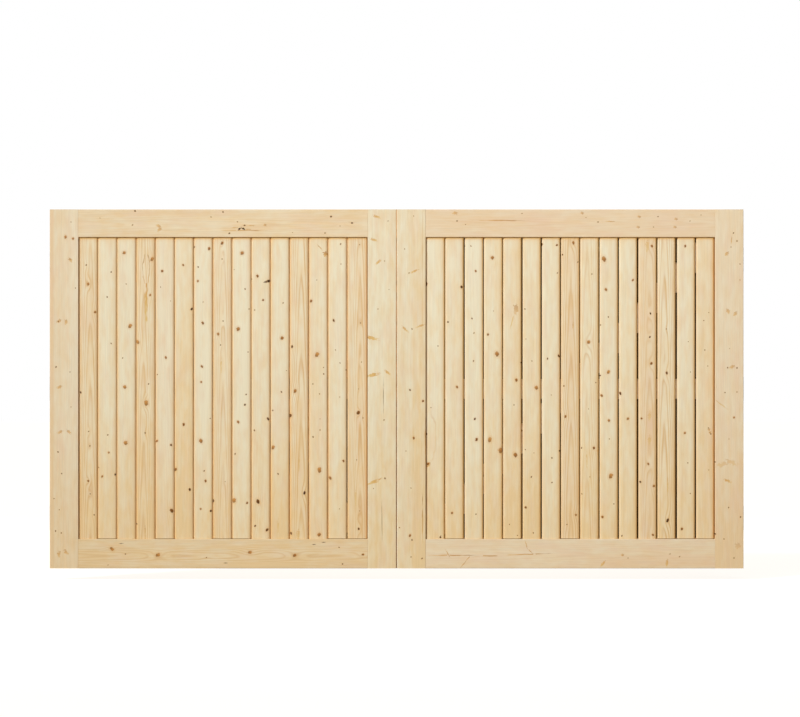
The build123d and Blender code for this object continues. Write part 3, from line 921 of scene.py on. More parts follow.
# %% Boards of the right leaf, as seen
RIGHT_BOARDS_SEEN = [
    ((0.11, 0, 0.2, STRAIGHT), [
        ("M", 426, 284), ("s", 438, 346), ("M", 426.3, 434), ("amber", 428, 464), ("m", 428, 464),
        ("arc", 428, 438), ("p", 431, 407.6), ("S", 440.7, 537.5), ("split", 440, 537, 35),
    ]),
    ((0.25, 0.05, 0.3, STRAIGHT), [
        ("M", 461.6, 287), ("S", 448, 322), ("m", 457, 387), ("m", 452, 513),
    ]),
    ((0.03, 0, 0.2, STRAIGHT), [
        ("s", 464.5, 246), ("s", 471, 246), ("m", 475.7, 271), ("s", 472, 318.5), ("s", 474, 333),
        ("s", 473.5, 361), ("M", 474.8, 419), ("m", 476.6, 439.5), ("s", 476, 514.3),
    ]),
    ((0.32, 0, 0.25, STRAIGHT), [
        ("b", 492.4, 257.7), ("p", 493.5, 311), ("m", 488, 334.5), ("b", 497, 354), ("b", 489.8, 439.8),
        ("amber", 500.6, 450.5), ("b", 500.8, 450.5),
    ]),
    ((0.4, 0.05, 0.35, STRAIGHT), [
        ("burl", 516, 309), ("resin", 512, 322, 15), ("s", 521, 362.5), ("m", 516.4, 380),
        ("s", 514, 405), ("b", 515.4, 455), ("p", 509.5, 524.5), ("p", 517.6, 535.6),
    ]),
    ((0.42, 0, 0.25, STRAIGHT), [
        ("s", 525, 309), ("p", 526, 339), ("p", 532, 361), ("b", 536.4, 387.7), ("p", 525.4, 449.6),
        ("p", 534, 453), ("s", 531.4, 477), ("m", 525.7, 507.5), ("s", 533.4, 533),
    ]),
    ((0.13, 0, 0.2, STRAIGHT), [
        ("M", 542, 244.4), ("m", 557, 245), ("s", 557.5, 273), ("s", 547.6, 358.7), ("M", 559, 356),
        ("p", 551.4, 395), ("S", 559.6, 451), ("s", 552, 458), ("s", 552, 482.6),
    ]),
    ((0.52, 0.18, 0.75, ARCHED), [
        ("m", 573.4, 242.7), ("s", 562.6, 254.6), ("s", 578, 262), ("tick", 573, 325.6),
        ("s", 564, 386), ("m", 565.5, 416.5), ("m", 576, 515), ("s", 567, 524.6),
    ]),
    ((0.3, 0, 0.5, ARCHED), [
        ("patch", 600, 455), ("s", 592, 274), ("s", 581.6, 448), ("b", 588.7, 342), ("s", 596, 382.6),
        ("p", 588.6, 409), ("m", 594, 448), ("p", 590, 477), ("s", 582, 494), ("resin", 587, 462),
    ]),
    ((0.2, 0, 0.35, STRAIGHT), [
        ("b", 604, 259), ("s", 600.7, 325), ("S", 600.4, 375.5), ("m", 606, 289.5), ("s", 608.5, 317),
        ("b", 608.6, 372), ("m", 601.7, 395.6), ("m", 609, 420.6), ("p", 609.5, 439), ("b", 611, 476),
        ("s", 614, 504), ("m", 602.5, 517),
    ]),
    ((0.3, 0, 0.25, STRAIGHT), [
        ("m", 633, 280), ("M", 620.5, 393.5), ("m", 628, 418.7), ("s", 622, 536),
    ]),
    ((0.55, 0.25, 0.5, ARCHED), [
        ("patch", 647.4, 246), ("m", 652, 246), ("S", 650.6, 313.5), ("S", 650, 337),
        ("m", 651.5, 363.4), ("m", 641.7, 418.5), ("patch", 649.6, 416), ("patch", 649.6, 440),
        ("m", 648.4, 464), ("M", 640.4, 482), ("m", 654, 486), ("m", 653, 535),
    ]),
    ((0.27, 0.05, 0.85, ARCHED), [
        ("M", 667, 373), ("p", 666.5, 329), ("M", 667.7, 520.6), ("resin", 668, 486),
    ]),
    ((0.23, 0.05, 0.3, STRAIGHT), [
        ("m", 685.4, 246), ("p", 688.5, 341.7), ("p", 690.7, 372), ("m", 685, 433), ("s", 688, 463),
        ("p", 690.5, 493.6), ("m", 682, 529),
    ]),
    ((0.45, 0.1, 0.35, STRAIGHT), [
        ("p", 709, 312.5), ("p", 704, 320.5), ("p", 705, 350), ("p", 708, 366),
        ("dab", 709.2, 429.6, -20), ("dab", 710.2, 432.6, -20), ("s", 708.6, 428), ("s", 711, 434),
        ("p", 709, 470),
    ]),
]
print(sum(len(seen) for look, seen in RIGHT_BOARDS_SEEN), "knots and marks on the right leaf's boards")

# %% A plank's place in its log
# the pith under an arched figure: share of the width, and depth in mm
ARCHED_ACROSS, ARCHED_DEEP = (0.35, 0.65), (28, 42)
# the pith beside a straight figure: off the middle and depth, both in mm
STRAIGHT_OFF, STRAIGHT_DEEP = (70, 140), (15, 60)
LOG_LENGTH = 8


def choose_pith(kind, width):
    """Where the pith lies from a plank's left edge, how deep, and how far up the log it starts."""
    if kind == ARCHED:
        across, deep = width * chance.uniform(*ARCHED_ACROSS), chance.uniform(*ARCHED_DEEP) * MM
    else:
        off_side = chance.choice((-1, 1)) * chance.uniform(*STRAIGHT_OFF) * MM
        across, deep = width / 2 + off_side, chance.uniform(*STRAIGHT_DEEP) * MM
    return across, deep, chance.uniform(0, LOG_LENGTH)


def upright(low):
    """Turns an upright plank's across, depth and along into the frame, from its low corner."""
    return lambda grain: np.array([low.x, low.y, low.z]) + grain


def upright_blemishes(low, width, seen):
    """Knots and marks of an upright plank from the picture points where they show."""
    placed = []
    for kind, px, py, *slant in seen:
        x, z = seen_at(px, py)
        placed.append((kind, min(max(x - low.x, 0), width), z - low.z, slant[0] if slant else 0))
    return placed


print("pith", ARCHED_DEEP, "mm deep under an arched figure")

# %% Make the boards
BOARD_FRONT_ARRIS = 10.0 * MM
BOARD_BACK_ARRIS = 1.0 * MM
# some boards stop short of the bottom rail, and show a dark line there
OPEN_FOOT, TIGHT_FOOT = 2.5 * MM, 0.4 * MM
OPEN_FEET = {"left": (2, 5, 8, 9, 14, 15), "right": (1, 2, 3, 8, 11, 14)}
# painted shade on a board's rounded edges, a warm brown as shaded wood looks: how much at its left and right
# edge
LEFT_EDGE_SHADE = {"left": 0.5, "right": 0.12}
RIGHT_EDGE_SHADE = {"left": 0.5, "right": 0.95}
EDGE_SHADE_WIDTH, EDGE_SHADE_DEPTH, EDGE_SHADE_FALL = 18 * MM, 14 * MM, 1.5
# painted shadow of the top rail on the heads of the boards, and how far down it reaches
HEAD_SHADOW, HEAD_SHADOW_LENGTH = 0.95, 7 * MM


def board_edge_shade(side, width, length):
    """A board's share of painted shade: full in the joint, fading over the arris, and a painted shadow under
    the top rail.
    """

    def share(grain):
        across, depth, along = grain.T
        at_left = LEFT_EDGE_SHADE[side] * np.clip(1 - across / EDGE_SHADE_WIDTH, 0, 1) ** EDGE_SHADE_FALL
        at_right = RIGHT_EDGE_SHADE[side] * np.clip(1 - (width - across) / EDGE_SHADE_WIDTH, 0, 1) ** EDGE_SHADE_FALL
        at_head = HEAD_SHADOW * np.exp((along - length) / HEAD_SHADOW_LENGTH)
        return np.clip(at_left + at_right + at_head, 0, 1) * (depth < EDGE_SHADE_DEPTH)

    return share


def make_board(side, place, look, seen):
    """One upright board in place of its solid; place counts from the hinges."""
    name = f"{side}_board_{place:02d}"
    low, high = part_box(name)
    width, depth, length = high - low
    section = plain_section(width, 0, depth, BOARD_FRONT_ARRIS, BOARD_BACK_ARRIS)
    foot_gap = OPEN_FOOT if place in OPEN_FEET[side] else TIGHT_FOOT
    ends = np.full(len(section), foot_gap), np.full(len(section), length)
    *look, kind = look
    plank(
        name + "_wood", [sweep(section, *ends)], upright(low), choose_pith(kind, width), look,
        upright_blemishes(low, width, seen), f"{side}_leaf", name, board_wood,
        # the board's painted shade on its edges and under the top rail
        board_edge_shade(side, width, length),
    )


for place, (look, seen) in enumerate(LEFT_BOARDS_SEEN, start=1):
    make_board("left", place, look, seen)
for place, (look, seen) in enumerate(RIGHT_BOARDS_SEEN):
    make_board("right", BOARDS_A_LEAF - place, look, seen)
print("boards made", len(LEFT_BOARDS_SEEN) + len(RIGHT_BOARDS_SEEN))

# %% [markdown]
# ## Stiles
# The four stiles are one long piece each, with a lip behind that carries the boards. Their
# figure is calm, and their blemishes are wide: branch streaks that run across, a swirl and
# long drying cracks. One section with the lip in it is swept up the whole length, because two
# boxes side by side would show a seam on the back. The hanging stiles' outer edges stay a
# hair behind the hinge flaps that are let into them, so that the two never share a face.

# %% Stiles, as seen
STILES_SEEN = {
    "left_hanging_stile": ((0.3, 0.22, 0.14, STRAIGHT), [
        ("p", 71, 222), ("m", 65.5, 237), ("m", 73, 238.6), ("smudge", 70.6, 260, -40),
        ("s", 70, 259.4), ("p", 75.5, 288), ("smudge", 59, 321, 55), ("s", 58.3, 321.5),
        ("smudge", 66, 322, 5), ("s", 56, 367), ("p", 70, 372), ("smudge", 59.3, 387, 65),
        ("p", 71, 407), ("smudge", 60, 432, 60), ("smudge", 69, 432, -50), ("s", 58, 452),
        ("s", 61.7, 473.6), ("p", 54, 498.6), ("p", 59.3, 509.7), ("s", 55.6, 531), ("s", 61.3, 533),
        ("smudge", 59, 554), ("smudge", 66, 552, -45),
    ]),
    "left_meeting_stile": ((0.32, 0, 0.12, STRAIGHT), [
        ("spike", 376.8, 216.8, -72), ("p", 388, 221), ("spike", 374, 240, -72),
        ("spike", 378.2, 262, 48), ("p", 384.6, 261), ("p", 389, 289.5), ("p", 378, 309),
        ("wedge", 371, 338, -77), ("wedge", 372.5, 375, 74), ("spike", 387.5, 372.5, -55),
        ("crack", 383.4, 398), ("s", 384, 420), ("wedge", 374, 482, 64), ("s", 385, 478.4),
        ("p", 373.5, 488.6), ("crack", 382, 522, -1), ("crack", 366.4, 221.5),
    ]),
    "right_meeting_stile": ((0.38, 0.05, 0.15, STRAIGHT), [
        ("p", 413.7, 216), ("p", 404.7, 249), ("s", 409, 273), ("spike", 414, 271.4, 65),
        ("spike", 405.5, 329.5, -48), ("s", 412, 329), ("spike", 420, 326, 68), ("S", 410, 390),
        ("m", 423, 401), ("m", 413.7, 438), ("p", 406, 451), ("p", 411, 488), ("p", 399.5, 527.6),
        ("m", 410, 535.5), ("s", 412, 540), ("s", 411, 557), ("s", 422, 558.5), ("streak", 425.4, 440),
        ("streak", 422.6, 520), ("line", 422.3, 270),
    ]),
    "right_hanging_stile": ((0.32, 0.28, 0.15, STRAIGHT), [
        ("s", 733.5, 233), ("s", 737, 241), ("p", 731, 247), ("smudge", 727, 253.6, 40),
        ("p", 740, 264), ("p", 740, 280), ("smudge", 728, 311, -30), ("smudge", 735.4, 313.5, 30),
        ("p", 729.6, 348.6), ("s", 727.7, 367.7), ("smudge", 732, 367, 70), ("s", 737, 368),
        ("s", 725, 392.6), ("p", 737, 392), ("m", 734, 417.5), ("p", 729, 439),
        ("swirl", 721.5, 464.6, 82), ("swirl", 732, 462.6, -62), ("spike", 728, 481, -62),
        ("s", 728.6, 507.6), ("s", 740.6, 517), ("s", 724, 539), ("faded", 738, 546), ("s", 734, 558),
        ("tick", 731.5, 240, 4), ("resin", 722, 405, -52), ("s", 715.4, 462), ("s", 715.4, 534),
        ("crack", 714.6, 221.5),
    ]),
}
print(sum(len(seen) for look, seen in STILES_SEEN.values()), "knots and marks on the stiles")

# %% A stile's section
FRAME_ARRIS = 2.5 * MM
frame_depth = back_y - front_y
board_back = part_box("left_board_01")[1].y - front_y
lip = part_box("left_bottom_rail")[1].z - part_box("left_board_01")[0].z


def lipped_section(face_width, lip_left):
    """A stile's section: its face, and the lip behind on the left or right."""
    full = face_width + lip
    face = np.linspace(FRAME_ARRIS, face_width - FRAME_ARRIS, round(face_width / CELL) + 1)[1:-1]
    back = np.linspace(FRAME_ARRIS, full - FRAME_ARRIS, round(full / CELL) + 1)[1:-1]
    parts = [
        rounded((FRAME_ARRIS, FRAME_ARRIS), FRAME_ARRIS, 180, ARRIS_STEPS),
        np.column_stack([face, np.zeros(len(face))]),
        rounded((face_width - FRAME_ARRIS, FRAME_ARRIS), FRAME_ARRIS, 270, ARRIS_STEPS),
        np.array([(face_width, board_back), (full, board_back)]),
        rounded((full - FRAME_ARRIS, frame_depth - FRAME_ARRIS), FRAME_ARRIS, 0, BACK_STEPS),
        np.column_stack([back[::-1], np.full(len(back), frame_depth)]),
        rounded((FRAME_ARRIS, frame_depth - FRAME_ARRIS), FRAME_ARRIS, 90, BACK_STEPS),
    ]
    section = np.concatenate(parts)
    if lip_left:
        section = section[::-1] * (-1, 1) + (full, 0)
    return section


print("lip", round(lip / MM, 1), "mm wide,", round((frame_depth - board_back) / MM, 1), "mm thick")

# %% Make the stiles
# painted shade on the walls that face the boards: under a rail, on the side in the light, and on the side in
# the shade
WALL_SHADE, LIT_WALL_SHADE, SHADED_WALL_SHADE = 0.9, 0.6, 0.55
WALL_FROM = 1.5 * MM
FLAP_PROUD = 0.15 * MM


def wall_shade(inner, shade_share=WALL_SHADE):
    """A frame member's share of painted shade: full on the wall that faces the boards. inner is
    where its front layer ends across the grain."""

    def share(grain):
        across, depth, along = grain.T
        on_wall = np.abs(across - inner) < WALL_FROM
        return shade_share * (on_wall & (depth > WALL_FROM) & (depth < frame_depth - WALL_FROM))

    return share


for name, (look, seen) in STILES_SEEN.items():
    low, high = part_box(name)
    if name == "left_hanging_stile":
        low.x += FLAP_PROUD
    if name == "right_hanging_stile":
        high.x -= FLAP_PROUD
    lip_left = name in ("left_meeting_stile", "right_hanging_stile")
    width = high.x - low.x
    section = lipped_section(width - lip, lip_left)
    ends = np.zeros(len(section)), np.full(len(section), high.z - low.z)
    *look, kind = look
    # the stile's wall that faces the boards gets painted shade
    plank(
        name + "_wood", [sweep(section, *ends)], upright(low), choose_pith(kind, width), look,
        upright_blemishes(low, width, seen), name.split("_")[0] + "_leaf", name, frame_wood,
        wall_shade(lip, LIT_WALL_SHADE) if lip_left else wall_shade(width - lip, SHADED_WALL_SHADE),
    )
print("stiles made", len(STILES_SEEN))

# %% [markdown]
# ## Rails
# The top and bottom rails lie between the stiles, and their grain runs level. The front layer
# is longer than the lip layer, because the stiles' lips reach further in at the back, so each
# rail is two swept sections in one piece. The bottom rail's upper front arris has a bevel.

# %% Rails, as seen
RAILS_SEEN = {
    "left_top_rail": ((0.65, 0.2, 0.22, ARCHED), [
        ("bark", 239.6, 228.8, 38), ("bark", 243.2, 228.6, -30), ("streak", 243, 230.3),
        ("tick", 247.5, 229.3), ("tick", 234.5, 227.7), ("s", 244.5, 225.4), ("tick", 251, 225.6),
        ("p", 237.5, 221.8), ("S", 229.3, 233.3), ("dab", 265, 225), ("S", 331, 216.6), ("S", 352, 223),
        ("p", 292.5, 232.5), ("s", 325, 233), ("p", 340, 226), ("smudge", 158.6, 226, -30),
        ("smudge", 159.5, 229.5, 40), ("s", 132.5, 225), ("S", 135, 211), ("S", 223, 212),
        ("p", 211, 217), ("p", 100, 218),
    ]),
    "right_top_rail": ((0.68, 0.4, 0.22, ARCHED), [
        ("smudge", 455, 213), ("s", 457, 221), ("p", 465.6, 224.5), ("streak", 500, 220.5),
        ("dab", 582, 213), ("p", 586, 217.5), ("s", 598, 222), ("tick", 610, 221.4),
        ("dab", 639, 216.6), ("dab", 638, 227), ("p", 653.5, 227), ("s", 658, 216.6), ("dab", 676, 219),
        ("dab", 675, 227), ("p", 701, 215), ("p", 690, 221), ("p", 522, 213.5),
    ]),
    "left_bottom_rail": ((0.2, 0.1, 0.6, ARCHED), [
        ("b", 112, 549), ("b", 158, 555), ("split", 121, 543.5), ("split", 225.6, 563), ("p", 108, 565),
        ("s", 125.4, 554), ("p", 206.4, 557.5), ("b", 250, 552.4), ("b", 294.8, 555.4),
        ("s", 339, 547.3), ("m", 363, 554.6), ("s", 342.5, 564), ("split", 314, 544.5),
        ("split", 323.5, 542.4),
    ]),
    "right_bottom_rail": ((-0.3, 0.3, 0.2, ARCHED), [
        ("dab", 622.6, 555), ("p", 628, 558), ("spike", 603, 563.5, 50), ("spike", 667, 563, 86),
        ("streak", 450, 555.3), ("p", 670, 554), ("s", 679.6, 556.6), ("streak", 486, 555.8),
        ("streak", 530, 554.2, 2), ("tick", 526.3, 545, -75), ("tick", 530, 551, -42),
        ("tick", 463, 564.6, 50), ("tick", 468, 558.4, 50), ("tick", 447.5, 553, -60),
    ]),
}
print(sum(len(seen) for look, seen in RAILS_SEEN.values()), "knots and marks on the rails")

# %% A rail's layers
BOTTOM_RAIL_BEVEL = 1.5 * MM
LEAF_STILES = {
    "left": ("left_hanging_stile", "left_meeting_stile"),
    "right": ("right_meeting_stile", "right_hanging_stile"),
}


def layer_section(low, high, front, back, low_bevel, high_bevel, front_arris, back_arris):
    """Section of one layer of a rail, across (upward) and deep. The bevels are at the front."""
    face = np.linspace(low + front_arris, high - front_arris, round((high - low) / CELL) + 1)[1:-1]
    face = face[(face > low + low_bevel) & (face < high - high_bevel)]
    parts = [
        np.array([(low, front + low_bevel), (low + low_bevel, front)]),
        np.column_stack([face, np.full(len(face), front)]),
        np.array([(high - high_bevel, front), (high, front + high_bevel)]),
        np.array([(high, back - back_arris), (high - back_arris, back)]),
        np.column_stack([face[::-1], np.full(len(face), back)]),
        np.array([(low + back_arris, back), (low, back - back_arris)]),
    ]
    return np.concatenate(parts)


def swept_level(section, left, right):
    """A section swept from one x to another."""
    return sweep(section, np.full(len(section), left), np.full(len(section), right))


def level(grain):
    """Turns a rail's grain into the frame: along is its x and across its z."""
    return np.column_stack([grain[:, 2], grain[:, 1] + front_y, grain[:, 0]])


print("bevel on the bottom rail", BOTTOM_RAIL_BEVEL / MM, "mm")


# %% Make the rails
def make_rail(name, look, seen):
    """One rail in place of its solid: a front layer and a shorter lip layer."""
    side = name.split("_")[0]
    low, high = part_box(name)
    stile_left, stile_right = LEAF_STILES[side]
    left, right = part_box(stile_left)[1].x - lip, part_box(stile_right)[0].x + lip
    at_foot = "bottom" in name
    face_low, face_high = (low.z, high.z - lip) if at_foot else (low.z + lip, high.z)
    front_bevels = (FRAME_ARRIS, BOTTOM_RAIL_BEVEL) if at_foot else (FRAME_ARRIS, FRAME_ARRIS)
    front = layer_section(face_low, face_high, 0, board_back, *front_bevels, FRAME_ARRIS, 0)
    rear = layer_section(low.z, high.z, board_back, frame_depth, 0, 0, 0, FRAME_ARRIS)
    sweeps = [swept_level(front, left, right), swept_level(rear, left + lip, right - lip)]
    blemishes = []
    for kind, px, py, *slant in seen:
        x, z = seen_at(px, py)
        blemishes.append((kind, z, x, slant[0] if slant else 0))
    *look, kind = look
    pith_up, pith_deep, log_start = choose_pith(kind, high.z - low.z)
    # the rail's wall that faces the boards gets painted shade
    plank(
        name + "_wood", sweeps, level, (low.z + pith_up, pith_deep, log_start), look, blemishes,
        f"{side}_leaf", name, frame_wood, wall_shade(face_high if at_foot else face_low),
    )


for name, (look, seen) in RAILS_SEEN.items():
    make_rail(name, look, seen)
print("rails made", len(RAILS_SEEN))

# %% [markdown]
# ## Mid rail and braces
# Behind the boards each leaf has a level mid rail and one straight diagonal brace that the
# rail cuts in two. The brace runs from the top corner at the hinges to the bottom corner at
# the meeting stile. Its ends are cut to the frame, so each line of its section starts and
# stops where the frame, or the mid rail, cuts it.

# %% Mid rails
REAR_ARRIS = 2.0 * MM
MID_RAIL_LOOK, MID_RAIL_KNOTS = (0.5, 0.1, 0.45), 7
MID_RAIL_PITH_UP, MID_RAIL_PITH_DEEP = 50 * MM, 40 * MM
HIDDEN_KINDS = "ssmmbM"
CLEAR_OF_EDGE = 0.1


def rear_opening(side):
    """Left, right, foot and head of the opening inside the frame's lips."""
    stile_left, stile_right = LEAF_STILES[side]
    foot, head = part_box(f"{side}_bottom_rail")[1].z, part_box(f"{side}_top_rail")[0].z
    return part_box(stile_left)[1].x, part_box(stile_right)[0].x, foot, head


def mid_rail_heights(side):
    """Lower and upper edge of a leaf's mid rail."""
    return [corner.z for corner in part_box(f"{side}_mid_rail")]


def random_knots(low, width, start, length, count):
    """A few knots on a piece that the photograph doesn't show."""
    knots = []
    for kind in [chance.choice(HIDDEN_KINDS) for _ in range(count)]:
        across = low + chance.uniform(CLEAR_OF_EDGE, 1 - CLEAR_OF_EDGE) * width
        knots.append((kind, across, start + chance.uniform(0, length), 0))
    return knots


for side in SIDES:
    left, right, foot, head = rear_opening(side)
    rail_low, rail_high = mid_rail_heights(side)
    section = layer_section(rail_low, rail_high, board_back, frame_depth, 0, 0, 0, REAR_ARRIS)
    knots = random_knots(rail_low, rail_high - rail_low, left, right - left, MID_RAIL_KNOTS)
    pith = (rail_low + MID_RAIL_PITH_UP, MID_RAIL_PITH_DEEP, chance.uniform(0, LOG_LENGTH))
    plank(
        f"{side}_mid_rail_wood", [swept_level(section, left, right)], level, pith, MID_RAIL_LOOK, knots,
        f"{side}_leaf", f"{side}_mid_rail", frame_wood,
    )
print("rear opening of the left leaf", [round(edge, 3) for edge in rear_opening("left")])

# %% Braces
BRACE_WIDTH = 115 * MM
BRACE_LOOK, BRACE_KNOTS = (0.45, 0.1, 0.45), 9
BRACE_PITH_UP, BRACE_PITH_DEEP = 20 * MM, 50 * MM

for side in SIDES:
    left, right, foot, head = rear_opening(side)
    rail_low, rail_high = mid_rail_heights(side)
    hinge_x, turn = (left, 1) if side == "left" else (right, -1)
    lean = math.atan2(head - foot, right - left)
    sin, cos, tan = math.sin(lean), math.cos(lean), math.tan(lean)
    diagonal = math.hypot(head - foot, right - left)
    section = layer_section(
        -BRACE_WIDTH / 2, BRACE_WIDTH / 2, board_back, frame_depth, 0, 0, 0, REAR_ARRIS
    )
    across = section[:, 0]
    above = (head - rail_high + across * cos) / sin
    below = (head - rail_low + across * cos) / sin
    corner_start = np.maximum(-across * tan, across / tan)
    corner_end = diagonal - np.maximum(across * tan, -across / tan)

    def leaning(grain, hinge_x=hinge_x, turn=turn, sin=sin, cos=cos, head=head):
        """Along runs down the diagonal from the top corner at the hinges."""
        a, d, l = grain.T
        return np.column_stack([hinge_x + turn * (l * cos + a * sin), d + front_y, head - l * sin + a * cos])

    for part, start, end in (("upper", corner_start, above), ("lower", below, corner_end)):
        knots = random_knots(-BRACE_WIDTH / 2, BRACE_WIDTH, 0, diagonal, BRACE_KNOTS)
        pith = (BRACE_PITH_UP, BRACE_PITH_DEEP, chance.uniform(0, LOG_LENGTH))
        plank(
            f"{side}_{part}_brace_wood", [sweep(section, start, end)], leaning, pith, BRACE_LOOK, knots,
            f"{side}_leaf", f"{side}_{part}_brace", frame_wood,
        )
print("brace leans", round(math.degrees(lean), 1), "degrees")

# %% [markdown]
# ## Hinges and screws
# The butt hinges are pressed steel, bright zinc plated, and their solids already have every
# edge of the real ones, so they are carried over and only get that plating: a pale grey metal
# with a faint mottle of crystals about a centimetre wide. No nail or screw shows in the boards'
# faces, so they are held from behind, with two countersunk screws through the mid rail and
# through the brace into each board. A head is a shallow dish with a cross recess. One head is
# drawn once from its outline and set down many times in a single mesh a leaf.

# %% Zinc plating
# plated steel is bright but not polished: it mirrors its surroundings as soft pale patches
SPANGLE = 9 * MM
zinc_steel, tree = new_material("bright_zinc_plated_steel")
place = node(tree, "TexCoord").outputs["Object"]
crystals = node(tree, "TexNoise", {"Vector": place, "Scale": 1 / SPANGLE, "Detail": 3.0})
plating = node(tree, "ValToRGB", {0: crystals}, [(0.3, linear("#B4B8BA")), (0.7, linear("#CDD0CF"))])
dullness = node(tree, "MapRange", {0: crystals, 1: 0.3, 2: 0.7, 3: 0.46, 4: 0.32})
pressed = node(tree, "Bump", {"Height": crystals, "Strength": 0.08, "Distance": 0.2 * MM})
metal = node(
    tree, "BsdfPrincipled", {"Base Color": plating, "Metallic": 1.0, "Roughness": dullness, "Normal": pressed}
)
node(tree, "OutputMaterial", {"Surface": metal})
for side in SIDES:
    for flaps in ("post_flaps", "gate_flaps"):
        hinge_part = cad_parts[f"{side}_{flaps}"]
        hinge_part.data.materials.clear()
        hinge_part.data.materials.append(zinc_steel)
print("sets of hinge flaps plated", 2 * len(SIDES))

# %% One screw head
HEAD_RADIUS, HEAD_RISE, RIM_RISE, RECESS_FLOOR = 4.0 * MM, 0.35 * MM, 0.15 * MM, 0.06 * MM
# shares of the radius: how far the cross reaches, half its width, and where the rim starts
RECESS_REACH, RECESS_HALF_WIDTH, RIM_SHARE = 0.6, 0.13, 0.86
HEAD_SIDES = 24
QUARTER_TURNS = ((1, 0), (0, 1), (-1, 0), (0, -1))


def screw_head():
    """Vertices (right, up, out) and faces of a countersunk head with a cross recess."""
    turn = np.linspace(0, 2 * math.pi, HEAD_SIDES, endpoint=False)
    ring = np.column_stack([np.cos(turn), np.sin(turn)]) * HEAD_RADIUS
    reach, half = RECESS_REACH * HEAD_RADIUS, RECESS_HALF_WIDTH * HEAD_RADIUS
    arm = np.array([(reach, 0), (reach, half), (half, half), (half, reach)])
    cross = np.concatenate([arm @ np.array([(c, s), (-s, c)]) for c, s in QUARTER_TURNS])
    layers = [
        (ring, 0), (ring, RIM_RISE), (ring * RIM_SHARE, HEAD_RISE), (cross, HEAD_RISE), (cross, RECESS_FLOOR)
    ]
    vertices = np.concatenate([np.column_stack([flat, np.full(len(flat), rise)]) for flat, rise in layers])
    starts = np.cumsum([0] + [len(flat) for flat, rise in layers])
    faces = []
    for low, high, count in ((0, 1, HEAD_SIDES), (1, 2, HEAD_SIDES), (3, 4, len(cross))):
        for i in range(count):
            j = (i + 1) % count
            faces.append([starts[low] + i, starts[low] + j, starts[high] + j, starts[high] + i])
    outer_step, inner_step = HEAD_SIDES // len(QUARTER_TURNS), len(arm)
    for k in range(len(QUARTER_TURNS)):
        outer = [starts[2] + (k * outer_step + i) % HEAD_SIDES for i in range(outer_step + 1)]
        inner = [starts[3] + (k * inner_step + i) % len(cross) for i in range(inner_step + 1)]
        faces.append(outer + inner[::-1])
    faces.append([starts[4] + i for i in range(len(cross))])
    return vertices.tolist(), faces


head_vertices, head_faces = screw_head()
print("one screw head has", len(head_faces), "faces")

# %% Screws of the boards
SCREW_APART, SCREW_STRAY = 58 * MM, 3 * MM
# places either side of a rail's or a brace's middle, and how far screws stay from its ends
RAIL_SCREWS, BRACE_SCREWS = (-0.5 * SCREW_APART, 0.5 * SCREW_APART), (-0.8 * SCREW_APART, 0.8 * SCREW_APART)
SCREW_CLEAR = SCREW_APART / 3
LEFTWARD, BACKWARD, UPWARD = Vector((-1, 0, 0)), Vector((0, 1, 0)), Vector((0, 0, 1))


def set_screws(name, body, places, right, up, out):
    """One mesh of screw heads at places of the frame, with the given directions."""
    vertices, faces = [], []
    for at in places:
        twist = chance.uniform(0, math.pi / 2)
        cos, sin = math.cos(twist), math.sin(twist)
        turned_right, turned_up = cos * right + sin * up, cos * up - sin * right
        faces += [[corner + len(vertices) for corner in face] for face in head_faces]
        vertices += [at + r * turned_right + u * turned_up + o * out for r, u, o in head_vertices]
    mesh = bpy.data.meshes.new(name)
    mesh.from_pydata(vertices, [], faces)
    mesh.materials.append(zinc_steel)
    screws = put_in_scene(name, mesh)
    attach(screws, body)
    print(name, len(places))


def brace_height(x, side):
    """Height of the brace's middle line behind a place x."""
    left, right, foot, head = rear_opening(side)
    from_hinges = x - left if side == "left" else right - x
    return head - from_hinges * (head - foot) / (right - left)


for side in SIDES:
    left, right, foot, head = rear_opening(side)
    rail_low, rail_high = mid_rail_heights(side)
    places = []
    for number in range(1, BOARDS_A_LEAF + 1):
        board_low, board_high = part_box(f"{side}_board_{number:02d}")
        x = (board_low.x + board_high.x) / 2
        heights = [(rail_low + rail_high) / 2 + part for part in RAIL_SCREWS]
        for z in [brace_height(x, side) + part for part in BRACE_SCREWS]:
            if not rail_low - SCREW_CLEAR < z < rail_high + SCREW_CLEAR:
                heights.append(z)
        for z in heights:
            if foot + SCREW_CLEAR < z < head - SCREW_CLEAR:
                stray = [chance.uniform(-SCREW_STRAY, SCREW_STRAY) for _ in range(2)]
                places.append(Vector((x + stray[0], back_y, z + stray[1])))
    set_screws(f"{side}_board_screws", f"{side}_leaf", places, LEFTWARD, UPWARD, BACKWARD)


# %% Screws of the hinges
HINGE_FROM_END, FLAP_WIDTH, FLAP_GAP = 250 * MM, 21 * MM, 1 * MM
FLAP_SCREWS_UP = (-45 * MM, 0.0, 45 * MM)
FLAP_SCREWS_ALONG = (-3.5 * MM, 3.5 * MM, -3.5 * MM)
hinge_heights = (foot_z + HINGE_FROM_END, (foot_z + head_z) / 2, head_z - HINGE_FROM_END)
for side, edge_x, outward in (("left", pair_left.x, LEFTWARD), ("right", pair_right.x, -LEFTWARD)):
    on_gate, on_post = [], []
    for height in hinge_heights:
        for up, along in zip(FLAP_SCREWS_UP, FLAP_SCREWS_ALONG):
            y = back_y - FLAP_WIDTH / 2 + along
            on_gate.append(Vector((edge_x, y, height + up)))
            on_post.append(Vector((edge_x, y, height + up)) + outward * FLAP_GAP)
    set_screws(f"{side}_gate_flap_screws", f"{side}_leaf", on_gate, BACKWARD, UPWARD, outward)
    set_screws(f"{side}_post_flap_screws", "post_hinges", on_post, BACKWARD, UPWARD, -outward)
